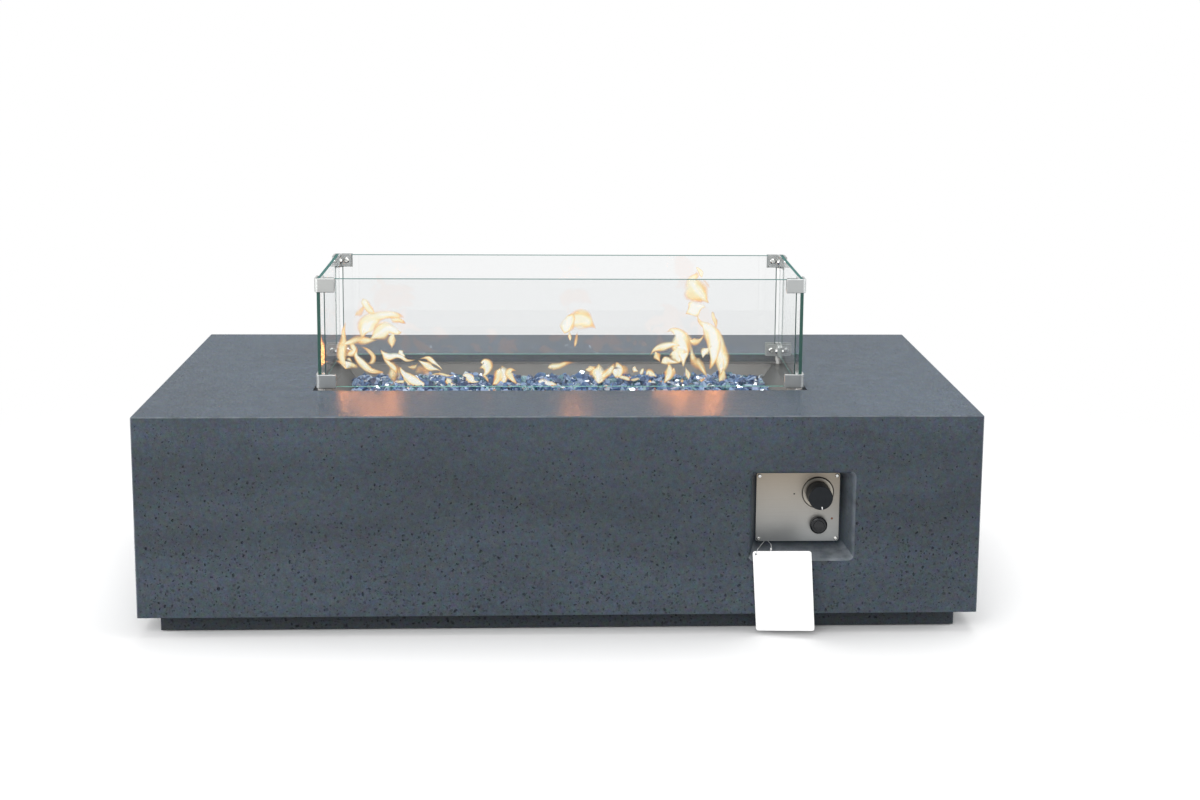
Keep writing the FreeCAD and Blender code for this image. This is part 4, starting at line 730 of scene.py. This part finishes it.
# The glass wind guard. Four panes of 6 mm tempered float glass with ground edges, which look green
# along their length, held at the corners by clips over soft clear liners. The edges' green is painted
# light and shade: light teal below, darker on top, darkest on upright edges.
glass_tone = (0.945, 0.945, 0.948, 1)
ground_top_from = 0.48
rim_width = 0.0014
long_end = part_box("glass_pane_front")[1][0]
past_the_panes = 1.0


def pane_finish(name, face_axis, end):
    """Clear float glass with ground edges painted in green light and shade, which lets the lamps' light
    through; a rim at end is painted dark.
    """
    made, tree, shader = finish(name, glass_tone[:3], 0.0, transmission_weight=1.0)
    place = object_place(tree)
    spot = split(tree, place)
    normal = split(tree, node(tree, "ShaderNodeTexCoord").outputs["Normal"])
    edge = maths(tree, "LESS_THAN", maths(tree, "ABSOLUTE", normal[face_axis]), 0.8)
    level = maths(tree, "GREATER_THAN", maths(tree, "ABSOLUTE", normal["Z"]), 0.6)
    high = maths(tree, "GREATER_THAN", spot["Z"], ground_top_from)
    # Painted light and shade on the ground edges: light teal on bottom edges, darker teal on top edges,
    # dark green on upright edges.
    painted_edge_tone = blend(tree, high, (0.20, 0.43, 0.38, 1), (0.060, 0.150, 0.140, 1))
    painted_edge_tone = blend(tree, level, (0.026, 0.080, 0.066, 1), painted_edge_tone)
    wheel = times(tree, noise_at(tree, place, 900.0), 0.12)
    painted_edge_tone = blend(tree, wheel, painted_edge_tone, (0.42, 0.60, 0.55, 1))
    # Painted shade: a dark rim on the pane's faces at end, standing in for its end seen through the glass.
    rim = maths(tree, "GREATER_THAN", maths(tree, "ABSOLUTE", spot["X"]), end - rim_width)
    painted_rim_shade = times(tree, rim, maths(tree, "SUBTRACT", 1.0, edge))
    painted_edge_tone = blend(tree, painted_rim_shade, painted_edge_tone, (0.035, 0.060, 0.062, 1))
    edge = maths(tree, "MAXIMUM", edge, rim)
    tree.links.new(blend(tree, edge, glass_tone, painted_edge_tone), shader.inputs["Base Color"])
    film = remap(tree, noise_at(tree, place, 16.0, 4.0), 0.45, 0.8, 0.0, 0.03)
    tree.links.new(maths(tree, "MULTIPLY_ADD", edge, 0.5, film), shader.inputs["Roughness"])
    dull = node(tree, "ShaderNodeBsdfDiffuse", {"Color": painted_edge_tone})
    frost = times(tree, edge, 0.95)
    frosted = node(tree, "ShaderNodeMixShader", {0: frost, 1: shader.outputs[0], 2: dull.outputs[0]})
    through = node(tree, "ShaderNodeBsdfTransparent", {"Color": (0.93, 0.95, 0.94, 1)})
    shadow = node(tree, "ShaderNodeLightPath").outputs["Is Shadow Ray"]
    both = node(tree, "ShaderNodeMixShader", {0: shadow, 1: frosted.outputs[0], 2: through.outputs[0]})
    body = node(tree, "ShaderNodeVolumeAbsorption", {"Color": (0.20, 0.456, 0.408, 1), "Density": 5.0})
    output = tree.nodes["Material Output"]
    tree.links.new(both.outputs[0], output.inputs["Surface"])
    tree.links.new(body.outputs[0], output.inputs["Volume"])
    return made


dress(pane_finish("long_pane_glass", "Y", long_end), "glass_pane_front", "glass_pane_rear")
dress(pane_finish("end_pane_glass", "X", past_the_panes), "glass_pane_left", "glass_pane_right")


# The corner clips. Cast zinc angles, satin nickel plated, clamped through the glass corner by
# bright button-head screws; the four lower ones stand on turned feet on the pan's flange.
satin_nickel = metal_finish("satin_nickel", (0.44, 0.455, 0.455), 0.38, (350.0, 350.0, 500.0), streaks=0.10,
                            tint=(0.48, 0.47, 0.44), tint_share=0.3, depth=0.00003)
bright_steel = metal_finish("bright_steel", (0.66, 0.66, 0.64), 0.20, (500.0, 500.0, 500.0),
                            streaks=0.12, depth=0.00002)
turned_feet = metal_finish("turned_feet", (0.74, 0.72, 0.69), 0.42, (60.0, 60.0, 900.0), streaks=0.10,
                           depth=0.00002, metallic=0.7)
clear_liner = speckled_finish("clear_liner", (0.40, 0.42, 0.42), (0.34, 0.36, 0.36), 0.5, 500.0,
                              depth=0.00005)
clips = ["clip_" + level + "_" + end + "_" + side
         for level in ("lower", "upper") for end in ("front", "rear") for side in ("left", "right")]
dress(satin_nickel, *clips)
dress(turned_feet, "guard_feet")
dress(bright_steel, "clamp_screws")
dress(clear_liner, "clip_liners")


# The control plate. Stainless sheet brushed from side to side, a little warmer toward its top, with
# two plain dots beside the controls, held by four pan-head screws in brass inserts.
plate_dots = ((0.3984, 0.2294, 0.0014, (0.03, 0.03, 0.03, 1)),
              (0.4647, 0.1854, 0.0020, (0.17, 0.075, 0.055, 1)))


def plate_finish():
    """Brushed sheet whose tone runs from grey at its foot to straw at its top, with two painted dots."""
    made, tree, shader = finish("brushed_plate", (0.58, 0.54, 0.48), 0.30, metallic=0.8)
    place = object_place(tree)
    low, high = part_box("control_plate")
    share = remap(tree, split(tree, place)["Z"], low[2], high[2])
    colour = blend(tree, share, (0.345, 0.358, 0.362, 1), (0.330, 0.285, 0.228, 1))
    grain = (14.0, 900.0, 2400.0)
    stretched = node(tree, "ShaderNodeMapping", {"Vector": place, "Scale": grain}).outputs[0]
    skin = use_group(tree, brushed, {"Place": place, "Lines": stretched, "Colour": colour,
                                     "Roughness": 0.40, "Streaks": 0.34})
    painted = skin["Colour"]
    for x, z, radius, ink in plate_dots:
        away = node(tree, "ShaderNodeVectorMath", {0: place, 1: (x, low[1], z)}, operation="DISTANCE")
        on_dot = maths(tree, "LESS_THAN", away.outputs["Value"], radius)
        painted = blend(tree, on_dot, painted, ink)
    cover(tree, shader, painted, skin["Roughness"], skin["Height"], 0.5, 0.00003)
    return made


dress(plate_finish(), "control_plate")
dress(bright_steel, "plate_screws")
dress(brass, "plate_inserts")


# The gas knob. A hollow knob moulded in satin black nylon with a white pointer let into its rim, in
# a turned ring whose wall is painted brighter than its face, a painted highlight; it turns the brass
# valve behind the plate.
black_nylon = speckled_finish("black_nylon", (0.008, 0.010, 0.012), (0.013, 0.015, 0.018), 0.46, 1400.0,
                              depth=0.00004, specular_ior_level=0.15)
pointer_paint = speckled_finish("pointer_paint", (0.80, 0.80, 0.80), (0.70, 0.70, 0.69), 0.4, 900.0,
                                depth=0.00003)
turned_ring = metal_finish("turned_ring", (0.35, 0.325, 0.28), 0.33, (60.0, 900.0, 60.0), streaks=0.15,
                           depth=0.00002)
tree = turned_ring.node_tree
ring_colour = tree.nodes["Principled BSDF"].inputs["Base Color"]
# Painted highlight: the ring's wall is lightened, so that it shows no dark outline against the plate.
facing = split(tree, node(tree, "ShaderNodeTexCoord").outputs["Normal"])["Y"]
wall = maths(tree, "LESS_THAN", maths(tree, "ABSOLUTE", facing), 0.5)
painted_wall_light = blend(tree, wall, ring_colour.links[0].from_socket, (0.75, 0.72, 0.66, 1))
tree.links.new(painted_wall_light, ring_colour)
dress(black_nylon, "control_knob")
dress(pointer_paint, "knob_pointer")
dress(turned_ring, "knob_bezel")
dress(brass, "valve_body", "valve_plug")
dress(bright_steel, "valve_screws", "valve_stem")


# The push-button igniter. Gloss black nylon: a threaded housing with a rounded bezel and its nut,
# a dished button on a spring, and the cell for the spark.
gloss_black = speckled_finish("gloss_black", (0.006, 0.007, 0.009), (0.010, 0.011, 0.014), 0.10, 900.0,
                              depth=0.00001, specular_ior_level=0.38)
spring_wire = metal_finish("spring_wire", (0.52, 0.52, 0.51), 0.25, (900.0, 900.0, 900.0), depth=0.00002)
cell_sleeve = speckled_finish("cell_sleeve", (0.06, 0.06, 0.07), (0.10, 0.10, 0.11), 0.35, 300.0,
                              depth=0.00002, coat_weight=0.4)
dress(gloss_black, "igniter_housing", "igniter_locknut", "igniter_push_button")
dress(cell_sleeve, "igniter_battery")
coil = copy_of_node("igniter_spring", "igniter_coil")
only_material(coil, spring_wire)
bpy.ops.object.shade_smooth_by_angle(angle=math.radians(40))
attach(coil, "fire_table")
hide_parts("igniter_spring")
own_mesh(coil)


# The gas pipes and leads inside. Bent aluminium tube with brass nuts, from the inlet on its plate to
# the valve and on to the jet, the flame sensor's copper lead, and the sleeved spark wire.
bent_tube = metal_finish("bent_tube", (0.62, 0.62, 0.61), 0.34, (200.0, 200.0, 200.0), streaks=0.15,
                         tint=(0.45, 0.45, 0.45), tint_share=0.4)
drawn_copper = metal_finish("drawn_copper", (0.62, 0.30, 0.17), 0.30, (300.0, 300.0, 300.0), streaks=0.15,
                            tint=(0.30, 0.13, 0.08), tint_share=0.7)
silicone_sleeve = speckled_finish("silicone_sleeve", (0.42, 0.05, 0.03), (0.34, 0.04, 0.03), 0.6, 500.0)
dress(bent_tube, "burner_pipe", "inlet_pipe")
dress(brass, "flare_nuts", "gas_inlet_fitting", "inlet_locknut")
dress(zinc, "inlet_mounting_plate")
dress(bright_steel, "inlet_screws")
dress(rubber, "wire_grommets")
dress(drawn_copper, "thermocouple_lead")
dress(silicone_sleeve, "ignition_wire")


# The hang tag. A blank white card, laminated, on a loop of clear nylon line that goes round the
# plate's lower screw, through the card's corner hole, and is crimped in a small white sleeve.
line_route = [
    (0.3482, -0.3016, 0.1454), (0.3420, -0.3170, 0.1452), (0.3366, -0.3380, 0.1478),
    (0.3312, -0.3546, 0.1494), (0.3286, -0.3618, 0.1474), (0.3275, -0.3620, 0.1430),
    (0.3282, -0.3586, 0.1396), (0.3345, -0.3565, 0.1372), (0.3465, -0.3536, 0.1370),
    (0.3536, -0.3512, 0.1420), (0.3546, -0.3480, 0.1514), (0.3554, -0.3370, 0.1518),
    (0.3556, -0.3180, 0.1476), (0.3549, -0.3016, 0.1454)]
line_diameter = 0.001
path = bpy.data.curves.new("tag_line", "CURVE")
path.dimensions = "3D"
path.resolution_u = 8
path.bevel_depth = line_diameter / 2
path.bevel_resolution = 3
path.use_fill_caps = True
spline = path.splines.new("NURBS")
spline.points.add(len(line_route) - 1)
for point, place in zip(spline.points, line_route):
    point.co = (*place, 1)
spline.order_u = 3
spline.use_endpoint_u = True
line = bpy.data.objects.new("tag_line", path)
bpy.context.scene.collection.objects.link(line)
clear_nylon = speckled_finish("clear_nylon", (0.72, 0.73, 0.73), (0.60, 0.61, 0.61), 0.25, 900.0,
                              depth=0.00002, coat_weight=0.3)
path.materials.append(clear_nylon)
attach(line, "hang_tag")
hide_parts("tag_string")
white_card = speckled_finish("white_card", (0.96, 0.96, 0.96), (0.94, 0.94, 0.938), 0.42, 1200.0,
                             depth=0.00002, coat_weight=0.2, subsurface_weight=0.25,
                             subsurface_radius=(1, 1, 1), subsurface_scale=0.002)
white_sleeve = speckled_finish("white_sleeve", (0.82, 0.82, 0.82), (0.75, 0.75, 0.74), 0.4, 900.0,
                               depth=0.00003)
dress(white_card, "hang_tag")
dress(white_sleeve, "tag_ferrule")


# The flames, lit as in the photograph. They are part of the setting and not of the table: thin
# curling tongues of fire over the fire glass along the burner, pale yellow at heart.
flame_rows = 30
flame_columns = 10
reflected_strength = 12.0
lighting_strength = 0.6


def fire_finish():
    """Fire that is pale at its heart and orange at its edges, and mirrors strongly outside the guard."""
    made = bpy.data.materials.new("fire")
    tree = blank_tree(made)
    flow = attribute(tree, "flow", "Vector")
    licks = noise_at(tree, flow, 34.0, distortion=1.2)
    folds = noise_at(tree, flow, 64.0, 1.0, distortion=1.2)
    solid = sway(tree, licks, 1.3, attribute(tree, "heart"))
    facing = node(tree, "ShaderNodeLayerWeight", {"Blend": 0.5}).outputs["Facing"]
    opacity = remap(tree, solid, 0.08, 0.80, 0.0, 0.97, smooth=True)
    opacity = times(tree, opacity, remap(tree, facing, 0.28, 0.60, 1.0, 0.0))
    hot = times(tree, sway(tree, folds, 1.0, solid), 0.66)
    ramp = node(tree, "ShaderNodeValToRGB", {"Fac": hot})
    ramp.color_ramp.elements[0].position = 0.10
    ramp.color_ramp.elements[0].color = (0.82, 0.33, 0.11, 1)
    ramp.color_ramp.elements[1].position = 0.80
    ramp.color_ramp.elements[1].color = (1.0, 1.0, 0.93, 1)
    ramp.color_ramp.elements.new(0.24).color = (1.0, 0.48, 0.16, 1)
    ramp.color_ramp.elements.new(0.38).color = (1.0, 0.68, 0.28, 1)
    ramp.color_ramp.elements.new(0.56).color = (1.0, 0.92, 0.60, 1)
    rays = node(tree, "ShaderNodeLightPath").outputs
    mirrored = maths(tree, "GREATER_THAN", rays["Glossy Depth"], 0.5)
    outside = maths(tree, "LESS_THAN", rays["Transmission Depth"], 2.5)
    outside = times(tree, rays["Is Transmission Ray"], outside)
    towards = split(tree, node(tree, "ShaderNodeNewGeometry").outputs["Normal"])["Y"]
    outside = times(tree, outside, maths(tree, "LESS_THAN", towards, -0.4))
    outside = times(tree, mirrored, outside)
    lighting = maths(tree, "MULTIPLY_ADD", rays["Is Diffuse Ray"], lighting_strength, 1.0)
    strength = maths(tree, "MULTIPLY_ADD", outside, reflected_strength, lighting)
    fiery = blend(tree, mirrored, ramp.outputs[0], (1.0, 0.37, 0.13, 1))
    glow = node(tree, "ShaderNodeEmission", {"Color": fiery, "Strength": strength})
    clear = node(tree, "ShaderNodeBsdfTransparent")
    both = node(tree, "ShaderNodeMixShader", {0: opacity, 1: clear.outputs[0], 2: glow.outputs[0]})
    node(tree, "ShaderNodeOutputMaterial", {0: both.outputs[0]})
    return made


def on_path(points, share):
    """A place on the smooth line through a few points, at a share of its length."""
    reach = share * (len(points) - 1)
    leg = min(int(reach), len(points) - 2)
    t = reach - leg
    before, start, end, after = [points[min(max(leg + step, 0), len(points) - 1)] for step in (-1, 0, 1, 2)]
    bend = start * 2 + (end - before) * t
    bend += (before * 2 - start * 5 + end * 4 - after) * t * t
    bend += (start * 3 - before - end * 3 + after) * t * t * t
    return bend / 2


def tongue(name, points, width, heat, flat, material):
    """One ribbon of fire along a line of points: it swells above its foot and narrows to a tip."""
    deselect()
    bpy.ops.mesh.primitive_grid_add(x_subdivisions=flame_columns, y_subdivisions=flame_rows, size=1)
    sheet = bpy.context.object
    sheet.name = name
    heart = sheet.data.attributes.new("heart", "FLOAT", "POINT")
    flow = sheet.data.attributes.new("flow", "FLOAT_VECTOR", "POINT")
    length = sum((after - before).length for before, after in zip(points, points[1:]))
    phase = random.uniform(0, full_turn)
    step = 0.02
    for corner in sheet.data.vertices:
        across = 2 * corner.co.x
        climb = min(max(corner.co.y + 0.5, 0.0), 1.0)
        middle = on_path(points, climb)
        ahead = on_path(points, min(1.0, climb + step)) - on_path(points, max(0.0, climb - step))
        swell = 0.60 + 0.45 * math.sin(math.pi * climb) + 0.18 * math.sin(phase + climb * 9)
        tip = min(1.0, 1.9 * (1 - climb)) ** 0.85
        half = width / 2 * swell * tip * min(1.0, 0.2 + 2.6 * climb)
        side = Vector((ahead.z, 0.0, -ahead.x)).normalized()
        curl = 0.45 * math.sin(phase + climb * 4) + (0.0 if flat else 1.45)
        edge = (side * math.cos(curl) + Vector((0, math.sin(curl), 0))) * across * half
        belly = Vector((0, 1, 0)) * half * 0.5 * (1 - across * across) * math.cos(curl)
        corner.co = middle + edge + belly
        ends = min(1, 0.3 + climb * 4) * min(1, 0.15 + 2.6 * (1 - climb))
        heart.data[corner.index].value = heat * (1 - abs(across) ** 1.6) * ends
        flow.data[corner.index].vector = (across * half, climb * length * 0.4, phase)
    sheet.data.materials.append(material)
    bpy.ops.object.shade_smooth()


# Each tongue: its width, how hot it is, and the places across and up that it runs through.
random.seed(5)
fire = fire_finish()
tongues = (
    (0.019, 0.9, (-0.396, 0.384), (-0.403, 0.403), (-0.401, 0.431), (-0.401, 0.453), (-0.396, 0.473)),
    (0.030, 1.3, (-0.399, 0.382), (-0.395, 0.394), (-0.391, 0.405)),
    (0.017, 0.9, (-0.403, 0.431), (-0.379, 0.440), (-0.354, 0.440), (-0.333, 0.441)),
    (0.017, 0.8, (-0.396, 0.410), (-0.383, 0.419), (-0.390, 0.438)),
    (0.015, 1, (-0.328, 0.378), (-0.351, 0.382), (-0.369, 0.397), (-0.378, 0.412), (-0.372, 0.429)),
    (0.011, 0.8, (-0.357, 0.394), (-0.349, 0.397), (-0.347, 0.408), (-0.358, 0.421), (-0.371, 0.427)),
    (0.030, 1.2, (-0.365, 0.443), (-0.363, 0.460), (-0.347, 0.478), (-0.325, 0.486), (-0.300, 0.486),
     (-0.287, 0.481)),
    (0.026, 1.1, (-0.351, 0.442), (-0.336, 0.453), (-0.318, 0.462), (-0.300, 0.455), (-0.291, 0.455)),
    (0.017, 1, (-0.343, 0.486), (-0.353, 0.497), (-0.362, 0.511), (-0.366, 0.517)),
    (0.014, 0.7, (-0.362, 0.500), (-0.372, 0.489), (-0.382, 0.480)),
    (0.017, 1, (-0.318, 0.482), (-0.300, 0.475), (-0.286, 0.467)),
    (0.012, 0.8, (-0.307, 0.453), (-0.313, 0.442), (-0.313, 0.427), (-0.313, 0.419)),
    (0.014, 1.2, (-0.332, 0.421), (-0.325, 0.413), (-0.317, 0.409), (-0.305, 0.411), (-0.295, 0.409),
     (-0.284, 0.402), (-0.269, 0.403)),
    (0.011, 1.1, (-0.300, 0.418), (-0.295, 0.410), (-0.287, 0.404)),
    (0.012, 1, (-0.329, 0.409), (-0.319, 0.397), (-0.307, 0.385), (-0.303, 0.373)),
    (0.017, 1.4, (-0.297, 0.390), (-0.291, 0.379), (-0.281, 0.370), (-0.269, 0.362), (-0.253, 0.357),
     (-0.236, 0.357)),
    (0.012, 1.3, (-0.264, 0.404), (-0.252, 0.396), (-0.241, 0.389), (-0.229, 0.386), (-0.219, 0.382)),
    (0.008, 0.9, (-0.262, 0.404), (-0.247, 0.406), (-0.235, 0.398), (-0.225, 0.390), (-0.219, 0.383)),
    (0.009, 0.8, (-0.284, 0.390), (-0.276, 0.388), (-0.269, 0.390), (-0.262, 0.400)),
    (0.023, 0.45, (-0.269, 0.379), (-0.258, 0.385), (-0.248, 0.379), (-0.258, 0.373)),
    (0.023, 0.55, (-0.309, 0.354), (-0.307, 0.373), (-0.309, 0.390), (-0.311, 0.403)),
    (0.011, 0.8, (-0.316, 0.351), (-0.300, 0.355), (-0.288, 0.362)),
    (0.006, 0.9, (-0.291, 0.371), (-0.284, 0.362), (-0.275, 0.351)),
    (0.005, 0.6, (-0.244, 0.368), (-0.235, 0.372), (-0.222, 0.372), (-0.208, 0.369), (-0.194, 0.372)),
    (0.013, 1, (-0.212, 0.365), (-0.209, 0.359), (-0.205, 0.353), (-0.194, 0.353)),
    (0.013, 1.3, (-0.182, 0.373), (-0.174, 0.372), (-0.168, 0.366), (-0.161, 0.361), (-0.151, 0.361)),
    (0.020, 1.2, (-0.149, 0.398), (-0.142, 0.398), (-0.137, 0.388), (-0.139, 0.379), (-0.146, 0.373)),
    (0.008, 0.8, (-0.146, 0.373), (-0.139, 0.365), (-0.134, 0.356)),
    (0.017, 0.9, (-0.126, 0.352), (-0.118, 0.367), (-0.114, 0.381), (-0.113, 0.389)),
    (0.026, 1.1, (-0.106, 0.353), (-0.108, 0.369), (-0.108, 0.381), (-0.110, 0.389)),
    (0.015, 1.2, (-0.082, 0.356), (-0.092, 0.367), (-0.097, 0.375), (-0.092, 0.382), (-0.082, 0.380)),
    (0.009, 0.8, (-0.105, 0.351), (-0.097, 0.354), (-0.092, 0.352)),
    (0.016, 0.9, (-0.025, 0.385), (-0.018, 0.387), (-0.003, 0.390), (0.010, 0.394), (0.028, 0.396)),
    (0.018, 1.4, (-0.043, 0.362), (-0.033, 0.361), (-0.022, 0.358), (-0.007, 0.357)),
    (0.032, 1.1, (0.070, 0.357), (0.072, 0.369), (0.071, 0.382), (0.070, 0.395)),
    (0.012, 0.9, (0.045, 0.381), (0.056, 0.382), (0.065, 0.388)),
    (0.017, 0.8, (0.075, 0.367), (0.084, 0.379), (0.094, 0.390), (0.100, 0.401)),
    (0.026, 1.1, (0.101, 0.367), (0.105, 0.379), (0.106, 0.388), (0.102, 0.398)),
    (0.026, 0.6, (0.111, 0.373), (0.115, 0.382), (0.113, 0.392)),
    (0.010, 0.9, (0.102, 0.369), (0.115, 0.367), (0.125, 0.363), (0.129, 0.358)),
    (0.010, 1.2, (0.132, 0.385), (0.138, 0.383), (0.143, 0.381)),
    (0.026, 1.2, (0.006, 0.451), (0.011, 0.465), (0.018, 0.481), (0.021, 0.491)),
    (0.035, 1, (0.010, 0.456), (0.023, 0.469), (0.038, 0.473), (0.054, 0.466), (0.065, 0.458)),
    (0.007, 0.7, (0.017, 0.436), (0.016, 0.444), (0.014, 0.456)),
    (0.008, 0.7, (0.025, 0.426), (0.028, 0.442), (0.030, 0.456)),
    (0.030, 1.3, (0.297, 0.361), (0.301, 0.387), (0.297, 0.412), (0.291, 0.438), (0.282, 0.455),
     (0.269, 0.462)),
    (0.028, 1.4, (0.277, 0.384), (0.284, 0.404), (0.285, 0.421), (0.282, 0.441), (0.277, 0.455),
     (0.269, 0.465), (0.257, 0.473), (0.251, 0.489)),
    (0.018, 0.7, (0.272, 0.370), (0.261, 0.387), (0.245, 0.401), (0.241, 0.421), (0.236, 0.441)),
    (0.013, 0.9, (0.236, 0.440), (0.247, 0.436), (0.259, 0.441), (0.267, 0.455)),
    (0.012, 1, (0.264, 0.404), (0.266, 0.414), (0.274, 0.421), (0.282, 0.429)),
    (0.023, 1.4, (0.230, 0.489), (0.240, 0.494), (0.250, 0.500), (0.260, 0.503), (0.266, 0.501)),
    (0.038, 1, (0.273, 0.509), (0.264, 0.517), (0.254, 0.529), (0.245, 0.541), (0.241, 0.552),
     (0.249, 0.562), (0.250, 0.571)),
    (0.009, 1, (0.259, 0.557), (0.257, 0.566), (0.252, 0.573), (0.248, 0.577)),
    (0.010, 1, (0.288, 0.458), (0.287, 0.472), (0.283, 0.480), (0.281, 0.489), (0.281, 0.493)),
    (0.008, 0.6, (0.252, 0.356), (0.262, 0.363), (0.272, 0.372)),
    (0.013, 0.9, (0.295, 0.358), (0.302, 0.370), (0.303, 0.389)),
    (0.018, 0.9, (0.192, 0.358), (0.200, 0.372), (0.201, 0.387), (0.199, 0.399)),
    (0.013, 0.9, (0.200, 0.360), (0.208, 0.373), (0.211, 0.387)),
    (0.030, 1.4, (0.228, 0.387), (0.228, 0.404), (0.226, 0.421), (0.222, 0.438), (0.216, 0.451),
     (0.205, 0.456), (0.195, 0.451)),
    (0.016, 1.1, (0.221, 0.426), (0.208, 0.428), (0.191, 0.424), (0.174, 0.418), (0.166, 0.407)),
    (0.015, 1, (0.185, 0.396), (0.195, 0.401), (0.208, 0.399), (0.221, 0.397)),
    (0.012, 1, (0.174, 0.418), (0.179, 0.406), (0.185, 0.396)),
    (0.035, 1.2, (0.221, 0.394), (0.220, 0.411), (0.214, 0.426)),
    (0.009, 0.8, (0.238, 0.363), (0.235, 0.375), (0.231, 0.389)),
    (0.009, 1, (0.132, 0.385), (0.137, 0.383), (0.143, 0.381)),
    (0.009, 0.8, (0.148, 0.372), (0.151, 0.379), (0.154, 0.385)),
    (0.012, 1, (0.157, 0.372), (0.163, 0.378), (0.172, 0.373), (0.178, 0.368)),
    (0.009, 1, (0.161, 0.356), (0.167, 0.357), (0.173, 0.356)),
    (0.007, 0.6, (0.128, 0.363), (0.138, 0.364), (0.149, 0.366)),
    (0.009, 0.7, (0.222, 0.361), (0.225, 0.363), (0.228, 0.361)))
for number, (width, heat, *places) in enumerate(tongues):
    depth = random.uniform(-0.012, 0.012)
    points = [Vector((x, depth, z)) for x, z in places]
    for side, flat, share in (("a", True, 1.3), ("b", False, 1.0)):
        tongue("flame_%02d%s" % (number, side), points, width * share, heat, flat, fire)
